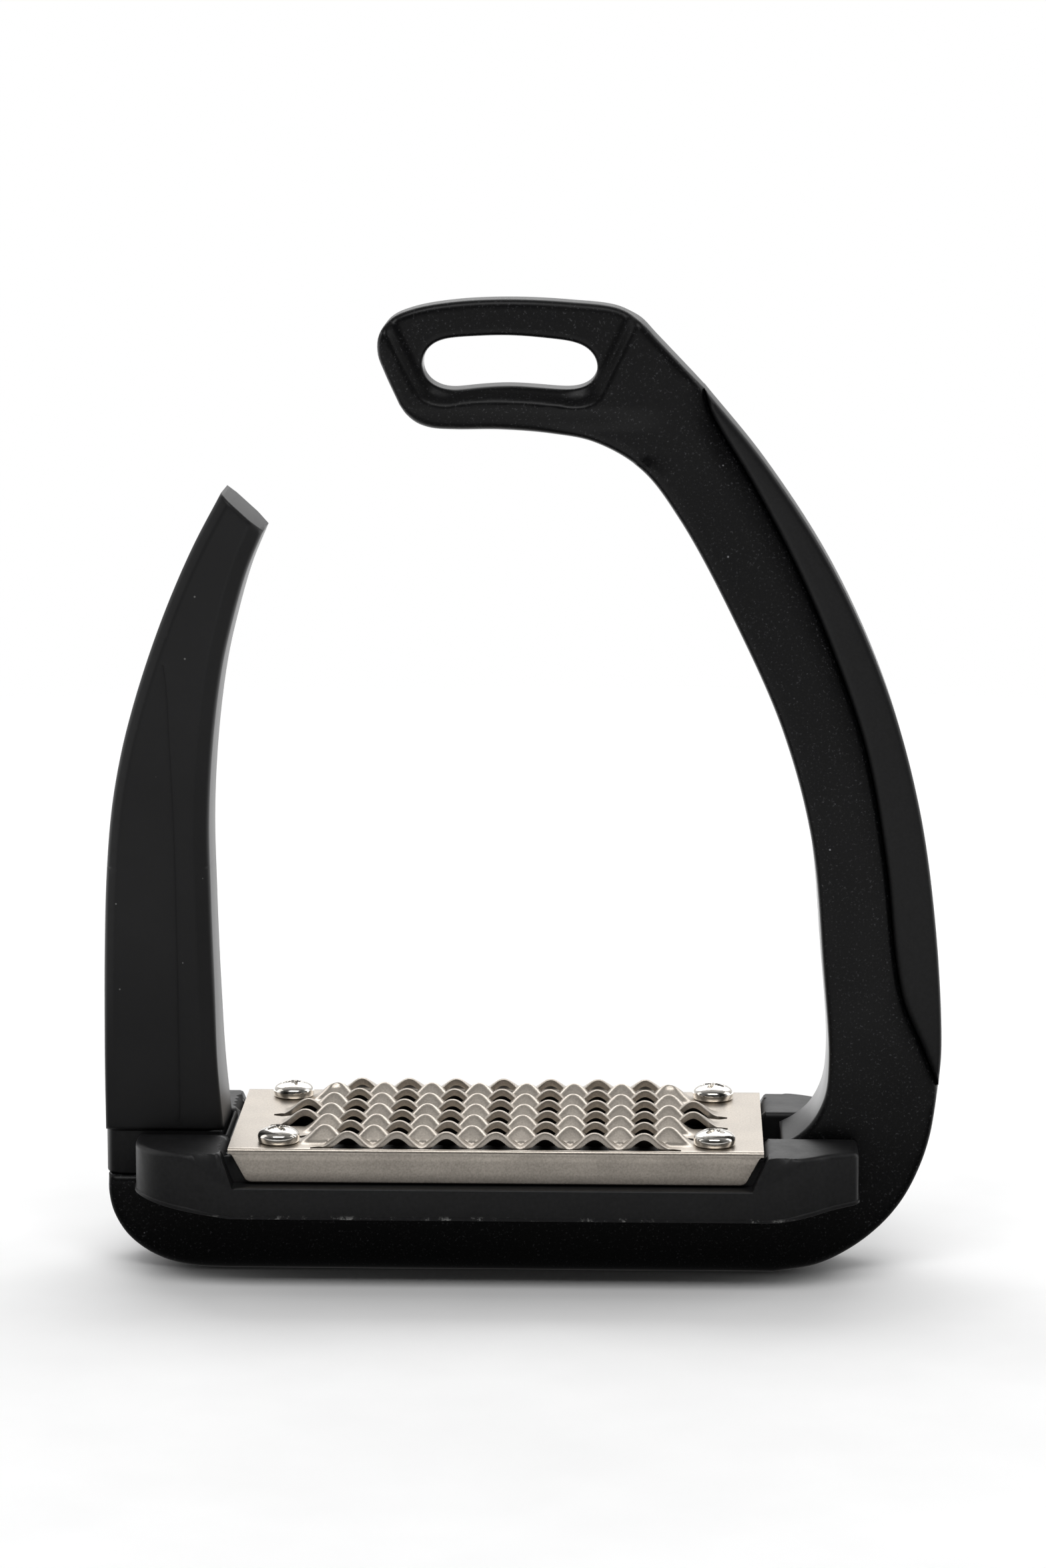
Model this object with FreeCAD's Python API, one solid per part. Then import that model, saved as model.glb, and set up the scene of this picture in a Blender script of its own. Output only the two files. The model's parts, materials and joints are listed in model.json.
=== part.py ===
"""Safety stirrup iron with a flexible release arm, built as a bench assembly.

Frame: millimetres, +Z up, X across the foot opening (release arm at -X, fixed branch at +X),
Y through the thickness. The origin is the bottom centre of the whole object's box.
"""
import FreeCAD, Part
import math
import os

V = FreeCAD.Vector

# ---- driving dimensions -------------------------------------------------------------------
FRAME_HALF_LOW = 10.0        # half thickness of the casting at the base and lower branch
FRAME_HALF_TOP = 7.0         # half thickness at the strap eye
SLOT_LEFT = -14.6            # strap slot: where its straight sides end, and its arched middle
SLOT_RIGHT = 9.8
SLOT_MIDDLE = -2.5
SLOT_LOW = 174.7
SLOT_HIGH = 184.4
RECESS_FLOOR = 4.4           # half thickness left around the slot

TREAD_X = -4.5               # centre of the tread unit along X
PLATE_LENGTH = 104.0
PLATE_HALF_DEPTH = 25.0
PLATE_TOP = 28.3
PLATE_THICK = 1.2
FLANGE_BOTTOM = 21.6
FLANGE_SLANT = 3.7           # how far each flange end slopes in
GASKET_THICK = 0.8
SCREW_SPACING_X = 85.0
SCREW_SPACING_Y = 38.0

TOOTH_PITCH = 9.6            # along X, inside one row
SLIT_PITCH = 8.9             # from one slit to the next along Y
SLIT_COUNT = 6
FIRST_SLIT = -24.0           # Y of the front slit
LONG_SLITS = (2, 3)          # these two run on between the screws
TOOTH_HEIGHT = 3.2
TOOTH_HALF = 3.35            # half width of a tooth at its foot
TOOTH_LEAN = 1.7             # how far a tooth's tip stands back from its slit
TOOTH_RUN = 5.6              # length of a tooth from the slit to its root
SLIT_WIDTH = 1.0

TRAY_HALF_DEPTH = 28.0
TRAY_TOP = 27.6
TRAY_BOTTOM = 15.0
TRAY_LEDGE = 21.1            # top of the low front and rear walls beside the flanges
TRAY_LEFT = -75.5
TRAY_RIGHT = 66.0
TRAY_END_HALF = 22.0         # half depth of the tray where its end blocks finish

PLATFORM_TOP = 22.0
PLATFORM_BOTTOM = 16.5
PLATFORM_HALF = 22.4
PLATFORM_LEFT = -57.0
PLATFORM_RIGHT = 50.6
BRANCH_FOOT = 51.2           # where the branch meets the beam, inside
PLATE_SCREW_R = 2.0
PLATE_HEAD_R = 4.1
INSERT_R = 2.9

ARM_BOTTOM = 27.9
COLLAR_BOTTOM = 19.0
COLLAR_LEFT = -81.7          # crown of the collar's bowed outer face
COLLAR_BEND = -79.5          # where that face meets the flat sides
COLLAR_RIGHT = -59.0
COLLAR_HALF = 9.6
ARM_OUT_DEG = 35.0           # outward bend at each of the two flex zones
KNUCKLE_GAP = 0.35

OUT = "parts"


# ---- small makers -------------------------------------------------------------------------
def spline(points, start=None, end=None):
    """Smooth edge in the XZ plane through (x, z) points, with optional end directions."""
    curve = Part.BSplineCurve()
    poles = [V(x, 0, z) for x, z in points]
    if start and end:
        curve.interpolate(poles, InitialTangent=V(start[0], 0, start[1]), FinalTangent=V(end[0], 0, end[1]))
    else:
        curve.interpolate(poles)
    return curve.toShape()


def line(a, b):
    return Part.makeLine(V(a[0], 0, a[1]), V(b[0], 0, b[1]))


def slab(edges, half):
    """Closed XZ outline pushed out to plus and minus half along Y."""
    face = Part.Face(Part.Wire(Part.__sortEdges__(edges)))
    face.translate(V(0, -half, 0))
    return face.extrude(V(0, 2 * half, 0))


def poly_slab(points, low, high):
    """Straight-sided XZ outline from Y = low to Y = high."""
    wire = Part.makePolygon([V(x, low, z) for x, z in points + points[:1]])
    return Part.Face(wire).extrude(V(0, high - low, 0))


def box(x0, x1, y0, y1, z0, z1):
    return Part.makeBox(x1 - x0, y1 - y0, z1 - z0, V(x0, y0, z0))


def upright(radius, x, y, z0, z1):
    return Part.makeCylinder(radius, z1 - z0, V(x, y, z0))


def disc(radius, x, z, half=40.0):
    return Part.makeCylinder(radius, 2 * half, V(x, -half, z), V(0, 1, 0))


def mirror_y(shape):
    return shape.mirror(V(0, 0, 0), V(0, 1, 0))


# ---- the casting --------------------------------------------------------------------------
INSERT_TOP = (35.2, 174.5)       # where the trim's inner line meets the outer edge, above
INSERT_BOTTOM = (81.9, 38.0)     # and below
INSERT_LINE = [(36.6, 169.8), (44.7, 156.0), (52.9, 140.6), (60.6, 123.0), (67.1, 104.0),
               (71.2, 82.0), (73.3, 63.0), (75.0, 54.5), (78.6, 46.0)]
HEEL_EDGE = [(50.0, 0.0), (65.4, 5.2), (75.3, 15.0), (80.4, 28.0), INSERT_BOTTOM]
BACK_EDGE = [INSERT_BOTTOM, (82.4, 46.0), (80.9, 70.0), (77.4, 93.4), (71.0, 116.0), (60.5, 139.3),
             (47.2, 159.8), INSERT_TOP]
HEEL_END = (0.07, 1.0)
BACK_END = (-0.67, 0.74)
INNER_EDGE = [(6.0, 165.6), (14.0, 163.9), (23.0, 158.8), (30.6, 149.0), (41.6, 128.7), (50.8, 108.0),
              (56.5, 87.0), (58.9, 63.0), (60.2, 43.0), (59.3, 35.0), (56.0, 29.2), (BRANCH_FOOT, 26.0)]


def eye_edges():
    """Outline of the strap eye from the outer edge's end, over the top and back under."""
    return [
        line(INSERT_TOP, (25.8, 184.3)),
        spline([(25.8, 184.3), (22.9, 187.3), (18.6, 189.9)], (-1, 1.04), (-1, 0.28)),
        spline([(18.6, 189.9), (-2.5, 191.5), (-21.0, 189.7)], (-1, 0.28), (-1, -0.25)),
        spline([(-21.0, 189.7), (-26.6, 186.4), (-27.9, 181.0)], (-1, -0.25), (0.42, -1)),
        line((-27.9, 181.0), (-23.6, 171.2)),
        spline([(-23.6, 171.2), (-21.0, 168.0), (-15.5, 166.4)], (0.42, -1), (1, -0.02)),
        spline([(-15.5, 166.4), (-4.0, 166.3), (6.0, 165.6)], (1, -0.02), (1, -0.10)),
    ]


def frame_outline():
    return [
        line((-58.0, 0.0), (50.0, 0.0)),
        spline(HEEL_EDGE, (1, 0), HEEL_END),
        spline(BACK_EDGE, HEEL_END, BACK_END),
        *eye_edges(),
        spline(INNER_EDGE, (1, -0.10), (-1, -0.45)),
        line((BRANCH_FOOT, 26.0), (BRANCH_FOOT, COLLAR_BOTTOM)),
        line((BRANCH_FOOT, COLLAR_BOTTOM), (-81.7, COLLAR_BOTTOM)),
        spline([(-81.7, COLLAR_BOTTOM), (-80.4, 11.0), (-74.6, 4.0), (-58.0, 0.0)], (0, -1), (1, 0)),
    ]


def insert_zone(half):
    """The strip between the trim's inner line and the branch's outer edge."""
    inner = [INSERT_TOP] + INSERT_LINE + [INSERT_BOTTOM]
    return slab([spline(inner), spline(BACK_EDGE, HEEL_END, BACK_END)], half)


def strap_slot(half):
    """Arched slot of the strap eye: long arched sides joined by nearly round ends."""
    top_left = (SLOT_LEFT, 183.9)
    top_right = (SLOT_RIGHT, 183.5)
    low_left = (SLOT_LEFT, 173.9)
    low_right = (SLOT_RIGHT, 173.9)
    return slab([
        spline([top_left, (SLOT_MIDDLE, SLOT_HIGH), top_right], (1, 0.08), (1, -0.10)),
        spline([top_right, (SLOT_RIGHT + 5.2, 178.6), low_right], (1, -0.10), (-1, 0.06)),
        spline([low_right, (SLOT_MIDDLE, SLOT_LOW), low_left], (-1, 0.06), (-1, -0.06)),
        spline([low_left, (SLOT_LEFT - 5.1, 178.9), top_left], (-1, -0.06), (1, 0.08)),
    ], half)


def strap_recess():
    """What is cut from the eye's front so that the leather lies flush: a channel and a ramp."""
    channel = poly_slab([(-24.4, 195.0), (-24.4, 188.0), (-19.9, 178.0), (15.2, 178.0),
                         (21.0, 188.6), (21.0, 195.0)], -20.0, -RECESS_FLOOR)
    floor = [(-24.4, 188.6), (-19.6, 176.0), (-13.5, 174.0), (9.0, 174.0), (14.9, 176.0), (21.0, 189.4),
             (21.0, 194.0), (-24.4, 194.0), (-24.4, 188.6)]
    rim = [(-28.9, 189.0), (-23.0, 172.0), (-15.5, 167.2), (10.6, 167.2), (18.2, 172.0), (24.6, 190.4),
           (24.6, 197.0), (-28.9, 197.0), (-28.9, 189.0)]
    ramp = Part.makeLoft([
        Part.makePolygon([V(x, -RECESS_FLOOR, z) for x, z in floor]),
        Part.makePolygon([V(x, -FRAME_HALF_LOW, z) for x, z in rim])], True, True)
    return channel.fuse(ramp)


def thickness_envelope():
    """Side view of the casting: it thins smoothly from the base to the eye."""
    low, top = FRAME_HALF_LOW, FRAME_HALF_TOP
    side = Part.BSplineCurve()
    heights = [(low, -1), (low, 60), ((low + top) / 2 + 0.1, 115), (top, 170), (top, 200)]
    side.interpolate([V(-100, y, z) for y, z in heights])
    right = side.toShape()
    left = right.mirror(V(0, 0, 0), V(0, 1, 0))
    wire = Part.Wire(Part.__sortEdges__([
        right, Part.makeLine(V(-100, top, 200), V(-100, -top, 200)), left,
        Part.makeLine(V(-100, -low, -1), V(-100, low, -1))]))
    return Part.Face(wire).extrude(V(200, 0, 0))


def tread_screw_places():
    half_x, half_y = SCREW_SPACING_X / 2, SCREW_SPACING_Y / 2
    return [(TREAD_X + sx * half_x, sy * half_y) for sy in (-1, 1) for sx in (-1, 1)]


ARM_SCREW_X = (-72.6, -64.4)
ARM_SCREW_SEAT = 10.0            # floor of the counterbores, from below
ARM_SCREW_BORE = 3.7
ARM_SCREW_R = 2.0
ARM_BUSH_R = 2.9
WASHER_THICK = 0.8
PLUG_TOP = 5.2
CORE_FOOT = 14.0                 # floor of the pocket that takes the core's foot
CORE = (-78.0, -61.5, 5.5)       # x from, x to, half depth
TRIM_PEGS = [(47.4, 151.0), (65.1, 110.0), (72.9, 66.0)]


def make_frame():
    body = slab(frame_outline(), FRAME_HALF_LOW).common(thickness_envelope())
    platform = box(PLATFORM_LEFT, PLATFORM_RIGHT, -PLATFORM_HALF, PLATFORM_HALF,
                   PLATFORM_BOTTOM, PLATFORM_TOP)
    body = body.fuse(platform).removeSplitter()
    recess = strap_recess()
    cuts = [insert_zone(20), recess, mirror_y(recess), strap_slot(20)]
    cuts.append(box(CORE[0], CORE[1], -CORE[2], CORE[2], CORE_FOOT, COLLAR_BOTTOM + 1))
    for x in ARM_SCREW_X:
        cuts.append(upright(ARM_SCREW_R + 0.2, x, 0, -1, CORE_FOOT + 1))
        cuts.append(upright(ARM_SCREW_BORE, x, 0, -1, ARM_SCREW_SEAT))
    for x, y in tread_screw_places():
        cuts.append(upright(INSERT_R, x, y, PLATFORM_BOTTOM - 1, PLATFORM_TOP + 1))
    for peg in trim_peg_shapes():
        cuts.append(peg)
    for cut in cuts:
        body = body.cut(cut)
    return body


def trim_peg_shapes():
    return [Part.makeCylinder(1.5, 9.0, V(x - 5.0, 0, z), V(1, 0, 0)) for x, z in TRIM_PEGS]


def make_trim():
    strip = insert_zone(20).common(thickness_envelope())
    for peg in trim_peg_shapes():
        strip = strip.cut(peg)
    return strip


# ---- the tread unit -----------------------------------------------------------------------
def tray_plan_half(sign):
    """Front or rear half of the tray's outline seen from above."""
    edge = Part.BSplineCurve()
    edge.interpolate([V(x, sign * y, 0) for x, y in (
        (TRAY_LEFT, 15.0), (-73.2, 21.6), (-66.0, 27.0), (-57.0, TRAY_HALF_DEPTH))])
    far = Part.BSplineCurve()
    far.interpolate([V(x, sign * y, 0) for x, y in (
        (49.0, TRAY_HALF_DEPTH), (55.5, 27.0), (60.4, 23.6), (TRAY_RIGHT, TRAY_END_HALF))])
    middle = Part.makeLine(V(-57.0, sign * TRAY_HALF_DEPTH, 0), V(49.0, sign * TRAY_HALF_DEPTH, 0))
    return [edge.toShape(), middle, far.toShape()]


def make_tray():
    front = tray_plan_half(-1)
    rear = tray_plan_half(1)
    ends = [
        Part.makeLine(V(TRAY_LEFT, -15.0, 0), V(TRAY_LEFT, 15.0, 0)),
        Part.makeLine(V(TRAY_RIGHT, -TRAY_END_HALF, 0), V(TRAY_RIGHT, TRAY_END_HALF, 0)),
    ]
    face = Part.Face(Part.Wire(Part.__sortEdges__(front + rear + ends)))
    face.translate(V(0, 0, TRAY_BOTTOM))
    tray = face.extrude(V(0, 0, TRAY_TOP - TRAY_BOTTOM))
    left, right = TREAD_X - PLATE_LENGTH / 2, TREAD_X + PLATE_LENGTH / 2
    deck = PLATE_TOP - PLATE_THICK - GASKET_THICK
    web = PLATE_HALF_DEPTH - PLATE_THICK - 0.1
    notch = FRAME_HALF_LOW + 0.3
    window = poly_slab([(left - 1.8, 40), (left - 1.8, TRAY_TOP), (left + 0.9, TRAY_LEDGE),
                        (right - 2.2, TRAY_LEDGE), (right + 0.9, TRAY_TOP), (right + 0.9, 40)], -30, -web)
    cuts = [
        window,
        mirror_y(window),
        box(left - 0.3, right + 0.3, -web - 0.01, web + 0.01, deck, 40),
        box(PLATFORM_LEFT - 0.3, PLATFORM_RIGHT + 0.4, -PLATFORM_HALF - 0.3, PLATFORM_HALF + 0.3,
            TRAY_BOTTOM - 1, PLATFORM_TOP),
        box(-90, -58.6, -notch, notch, TRAY_BOTTOM - 1, 40),
        box(-60, -57, -notch, notch, TRAY_BOTTOM - 1, COLLAR_BOTTOM + 0.1),
        box(BRANCH_FOOT - 0.3, 90, -notch, notch, TRAY_BOTTOM - 1, 40),
        box(right + 0.2, BRANCH_FOOT, -notch, notch, PLATFORM_TOP - 1, 40),
        poly_slab([(-60, 14), (-60, 15), (-80, 18), (-80, 14)], -40, 40),
        poly_slab([(52, 14), (52, 15), (70, 17.4), (70, 14)], -40, 40),
    ]
    for x, y in tread_screw_places():
        cuts.append(upright(PLATE_SCREW_R + 0.2, x, y, TRAY_BOTTOM, 40))
    for cut in cuts:
        tray = tray.cut(cut)
    return tray


def make_gasket():
    left, right = TREAD_X - PLATE_LENGTH / 2, TREAD_X + PLATE_LENGTH / 2
    half = PLATE_HALF_DEPTH - PLATE_THICK - 0.3
    deck = PLATE_TOP - PLATE_THICK - GASKET_THICK
    sheet = box(left + 1, right - 1, -half, half, deck, deck + GASKET_THICK)
    for x, y in tread_screw_places():
        sheet = sheet.cut(upright(PLATE_SCREW_R + 0.2, x, y, deck - 1, deck + 2))
    return sheet


def tooth_rows():
    """Every tooth as (x, slit y, direction): +1 teeth lean back from their slit, -1 teeth forward."""
    teeth = []
    for k in range(SLIT_COUNT):
        y = FIRST_SLIT + k * SLIT_PITCH
        reach = 4 if k in LONG_SLITS else 3
        for i in range(-reach, reach + 1):
            teeth.append((TREAD_X + i * TOOTH_PITCH, y, 1))
        if k > 0:
            for i in range(-4, 4):
                teeth.append((TREAD_X + (i + 0.5) * TOOTH_PITCH, y, -1))
    return teeth


def tetra(x, y, way, half, height, run, lean, base):
    """Pyramid tooth: triangular foot on the slit line, tip leaning back from it."""
    a = V(x - half, y, base)
    b = V(x + half, y, base)
    root = V(x, y + way * run, base)
    tip = V(x, y + way * lean, base + height)
    faces = [Part.Face(Part.makePolygon([p, q, r, p])) for p, q, r in (
        (a, b, root), (a, b, tip), (b, root, tip), (root, a, tip))]
    solid = Part.Solid(Part.Shell(faces))
    if solid.Volume < 0:
        solid.reverse()
    return solid


def make_plate():
    left, right = TREAD_X - PLATE_LENGTH / 2, TREAD_X + PLATE_LENGTH / 2
    under = PLATE_TOP - PLATE_THICK
    plate = box(left, right, -PLATE_HALF_DEPTH, PLATE_HALF_DEPTH, under, PLATE_TOP)
    flange = poly_slab([(left, PLATE_TOP), (left + FLANGE_SLANT, FLANGE_BOTTOM),
                        (right - FLANGE_SLANT, FLANGE_BOTTOM), (right, PLATE_TOP)],
                       -PLATE_HALF_DEPTH, -PLATE_HALF_DEPTH + PLATE_THICK)
    plate = plate.fuse(flange).fuse(mirror_y(flange))
    teeth = tooth_rows()
    foot = PLATE_TOP - 0.3
    bumps = []
    for x, y, way in teeth:
        bumps.append(tetra(x, y, way, TOOTH_HALF, TOOTH_HEIGHT + 0.3, TOOTH_RUN, TOOTH_LEAN, foot))
    plate = plate.fuse(bumps)
    hollows = []
    for x, y, way in teeth:
        hollows.append(tetra(x, y - way * 0.4, way, TOOTH_HALF - 0.6, TOOTH_HEIGHT - 0.2, TOOTH_RUN - 1.2,
                             TOOTH_LEAN, PLATE_TOP - 0.9))
    for k in range(SLIT_COUNT):
        y = FIRST_SLIT + k * SLIT_PITCH
        span = (4.7 if k in LONG_SLITS else 3.7) * TOOTH_PITCH
        hollows.append(box(TREAD_X - span, TREAD_X + span, y - SLIT_WIDTH / 2, y + SLIT_WIDTH / 2,
                           under - 1, PLATE_TOP))
    for x, y in tread_screw_places():
        hollows.append(upright(PLATE_SCREW_R + 0.2, x, y, under - 1, PLATE_TOP + 1))
    return plate.cut(Part.makeCompound(hollows))


def make_tread_screws():
    screws = []
    for x, y in tread_screw_places():
        head = upright(PLATE_HEAD_R, x, y, PLATE_TOP, PLATE_TOP + 2.0)
        dome = Part.makeCone(PLATE_HEAD_R, 2.9, 1.1, V(x, y, PLATE_TOP + 2.0))
        shank = upright(PLATE_SCREW_R, x, y, PLATFORM_BOTTOM + 0.5, PLATE_TOP)
        screw = head.fuse(dome).fuse(shank).removeSplitter()
        top = PLATE_TOP + 3.1
        screw = screw.cut(box(x - 2.3, x + 2.3, y - 0.5, y + 0.5, top - 1.7, top + 1))
        screw = screw.cut(box(x - 0.5, x + 0.5, y - 2.3, y + 2.3, top - 1.7, top + 1))
        screws.append(screw)
    return Part.makeCompound(screws)


def make_tread_inserts():
    inserts = []
    for x, y in tread_screw_places():
        insert = upright(INSERT_R, x, y, PLATFORM_BOTTOM, PLATFORM_TOP)
        inserts.append(insert.cut(upright(PLATE_SCREW_R, x, y, PLATFORM_BOTTOM - 1, PLATFORM_TOP + 1)))
    return Part.makeCompound(inserts)


# ---- the release arm ----------------------------------------------------------------------
ARM_HALF = 9.4
ARM_BEVEL = 2.8
ARM_OUTER = [(-82.1, ARM_BOTTOM), (-82.2, 45.7), (-82.1, 67.2), (-80.3, 91.2), (-75.8, 112.3),
             (-66.0, 138.5), (-58.1, 154.1)]
ARM_INNER = [(-50.0, 146.7), (-56.0, 129.5), (-60.1, 104.0), (-61.2, 86.6), (-60.6, 62.0),
             (-59.9, 40.7), (-58.6, ARM_BOTTOM)]
KNUCKLES = [(-71.35, 60.0, 10.8), (-69.4, 101.0, 9.05)]      # x, z and radius of each flex zone
BLADE_HALF = 6.0
BLADE_THICK = 1.0
BLADE_PATHS = [
    [(-71.2, 31.0), (-71.3, 48.0)],
    [(-71.35, 50.5), (-71.2, 70.0), (-70.7, 90.6)],
    [(-70.4, 93.2), (-67.4, 112.0), (-60.4, 137.0)],
]


def blade(path):
    """Flat spring strip of even thickness following a path of (x, z) points."""
    near = [(x - BLADE_THICK / 2, z) for x, z in path]
    far = [(x + BLADE_THICK / 2, z) for x, z in reversed(path)]
    return poly_slab(near + far, -BLADE_HALF, BLADE_HALF)


def arm_blank():
    blank = slab([spline(ARM_OUTER), line(ARM_OUTER[-1], ARM_INNER[0]), spline(ARM_INNER),
                  line(ARM_INNER[-1], ARM_OUTER[0])], ARM_HALF)
    rims = [e for e in blank.Edges if e.Length > 60 and abs(abs(e.Vertexes[0].Y) - ARM_HALF) < 0.01
            and abs(abs(e.Vertexes[-1].Y) - ARM_HALF) < 0.01]
    return blank.makeChamfer(ARM_BEVEL, rims)


def above(z):
    return box(-120, -20, -40, 40, z, 260)


def below_knuckle(shape, knuckle):
    """The part under a flex zone: a round seat with lowered shoulders on both sides."""
    x, z, r = knuckle
    clear = math.degrees(math.acos(r / (r + KNUCKLE_GAP)))
    outer_drop = r * math.tan(math.radians(ARM_OUT_DEG - clear)) + 0.4
    shape = shape.cut(above(z)).cut(disc(r + KNUCKLE_GAP, x, z))
    shape = shape.cut(box(-120, x, -40, 40, z - outer_drop, z + 1))
    return shape.cut(box(x, -20, -40, 40, z - 2.6, z + 1))


def above_knuckle(shape, knuckle):
    """The part over a flex zone: everything above the pivot and the round knuckle itself."""
    x, z, r = knuckle
    return shape.common(above(z).fuse(disc(r, x, z)))


def make_core():
    x0, x1, half = CORE
    core = box(x0, x1, -half, half, CORE_FOOT, 45.0)
    core = core.cut(box(-71.8, -70.6, -BLADE_HALF - 1, BLADE_HALF + 1, 31.0, 46.0))
    for x in ARM_SCREW_X:
        core = core.cut(upright(ARM_BUSH_R, x, 0, CORE_FOOT - 1, 26.0))
    return core


def make_arm():
    """Root, lower and upper lengths of the elastomer arm, with room for the core and blades."""
    blank = arm_blank()
    x0, x1, half = CORE
    root = below_knuckle(blank, KNUCKLES[0])
    root = root.cut(box(x0, x1, -half, half, 0, 45.0)).cut(blade(BLADE_PATHS[0]))
    lower = below_knuckle(above_knuckle(blank, KNUCKLES[0]), KNUCKLES[1]).cut(blade(BLADE_PATHS[1]))
    upper = above_knuckle(blank, KNUCKLES[1]).cut(blade(BLADE_PATHS[2]))
    return root, lower, upper


def make_collar():
    bow = Part.Arc(V(COLLAR_BEND, COLLAR_HALF, 0), V(COLLAR_LEFT, 0, 0), V(COLLAR_BEND, -COLLAR_HALF, 0))
    plan = Part.Wire(Part.__sortEdges__([
        Part.makeLine(V(COLLAR_BEND, -COLLAR_HALF, 0), V(COLLAR_RIGHT, -COLLAR_HALF, 0)),
        Part.makeLine(V(COLLAR_RIGHT, -COLLAR_HALF, 0), V(COLLAR_RIGHT, COLLAR_HALF, 0)),
        Part.makeLine(V(COLLAR_RIGHT, COLLAR_HALF, 0), V(COLLAR_BEND, COLLAR_HALF, 0)),
        bow.toShape()]))
    face = Part.Face(plan)
    face.translate(V(0, 0, COLLAR_BOTTOM))
    ring = face.extrude(V(0, 0, ARM_BOTTOM - COLLAR_BOTTOM))
    x0, x1, half = CORE
    return ring.cut(box(x0, x1, -half, half, 0, 60))


def make_arm_screws():
    screws = []
    top = ARM_SCREW_SEAT - WASHER_THICK
    for x in ARM_SCREW_X:
        head = upright(ARM_SCREW_BORE - 0.2, x, 0, top - 4.0, top)
        corners = [math.radians(60 * k) for k in range(7)]
        socket = Part.makePolygon([V(x + 1.7 * math.cos(a), 1.7 * math.sin(a), top - 4.1) for a in corners])
        head = head.cut(Part.Face(socket).extrude(V(0, 0, 2.3)))
        screws.append(head.fuse(upright(ARM_SCREW_R, x, 0, top - 0.2, 25.0)).removeSplitter())
    return Part.makeCompound(screws)


def make_arm_plugs():
    """Plugs that close the counterbores flush with the curved heel."""
    heel = slab(frame_outline(), FRAME_HALF_LOW)
    return Part.makeCompound([upright(ARM_SCREW_BORE, x, 0, -1, PLUG_TOP).common(heel) for x in ARM_SCREW_X])


def rings(places, outer, inner, z0, z1):
    """Washers or bushes of one size, one at each X along the centre line."""
    made = []
    for x in places:
        made.append(upright(outer, x, 0, z0, z1).cut(upright(inner, x, 0, z0 - 1, z1 + 1)))
    return Part.makeCompound(made)


def main():
    os.makedirs(OUT, exist_ok=True)
    root, lower, upper = make_arm()
    nodes = {
        "frame": make_frame(),
        "branch_trim": make_trim(),
        "trim_pegs": Part.makeCompound(trim_peg_shapes()),
        "tread_base": make_tray(),
        "tread_gasket": make_gasket(),
        "tread_plate": make_plate(),
        "tread_screws": make_tread_screws(),
        "tread_inserts": make_tread_inserts(),
        "arm_collar": make_collar(),
        "arm_core": make_core(),
        "arm_screws": make_arm_screws(),
        "arm_washers": rings(ARM_SCREW_X, 3.6, 2.1, ARM_SCREW_SEAT - WASHER_THICK, ARM_SCREW_SEAT),
        "arm_plugs": make_arm_plugs(),
        "arm_bushes": rings(ARM_SCREW_X, ARM_BUSH_R, ARM_SCREW_R, CORE_FOOT + 0.3, 25.5),
        "arm_root": root,
        "arm_lower": lower,
        "arm_upper": upper,
        "blade_root": blade(BLADE_PATHS[0]),
        "blade_lower": blade(BLADE_PATHS[1]),
        "blade_upper": blade(BLADE_PATHS[2]),
    }
    for name, shape in nodes.items():
        shape.exportStep(os.path.join(OUT, name + ".step"))


if __name__ == "__main__":
    main()
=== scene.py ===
import json
import math

import bpy
import numpy as np
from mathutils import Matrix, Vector
from mathutils.geometry import delaunay_2d_cdt


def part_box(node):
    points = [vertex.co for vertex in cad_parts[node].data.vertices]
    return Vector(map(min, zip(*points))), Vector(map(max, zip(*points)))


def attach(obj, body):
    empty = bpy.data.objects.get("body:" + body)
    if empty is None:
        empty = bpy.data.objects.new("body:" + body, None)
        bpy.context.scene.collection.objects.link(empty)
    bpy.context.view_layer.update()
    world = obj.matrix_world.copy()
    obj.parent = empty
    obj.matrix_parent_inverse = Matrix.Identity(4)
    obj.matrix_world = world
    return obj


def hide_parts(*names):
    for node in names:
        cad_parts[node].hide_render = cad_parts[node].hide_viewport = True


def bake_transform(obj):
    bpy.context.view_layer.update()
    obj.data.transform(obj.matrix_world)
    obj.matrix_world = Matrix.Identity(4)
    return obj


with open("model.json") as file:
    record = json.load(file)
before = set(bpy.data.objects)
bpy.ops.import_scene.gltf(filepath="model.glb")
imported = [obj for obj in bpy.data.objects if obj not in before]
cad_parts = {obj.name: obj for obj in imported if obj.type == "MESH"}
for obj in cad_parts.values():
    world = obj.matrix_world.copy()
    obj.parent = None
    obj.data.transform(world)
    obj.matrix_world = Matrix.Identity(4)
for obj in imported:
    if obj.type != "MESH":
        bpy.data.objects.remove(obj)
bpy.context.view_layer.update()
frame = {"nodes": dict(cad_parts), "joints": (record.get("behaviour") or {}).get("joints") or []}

# ---- the casting --------------------------------------------------------------------------
# One aluminium casting, gravity cast and then fine-blasted and anodised black. It carries the
# strap eye, the curved branch, the heel and the straight base beam under the tread. Every edge
# is rolled over by about 1.5 mm, and the eye is recessed front and back so the leather lies flush.

MM = 0.001


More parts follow.
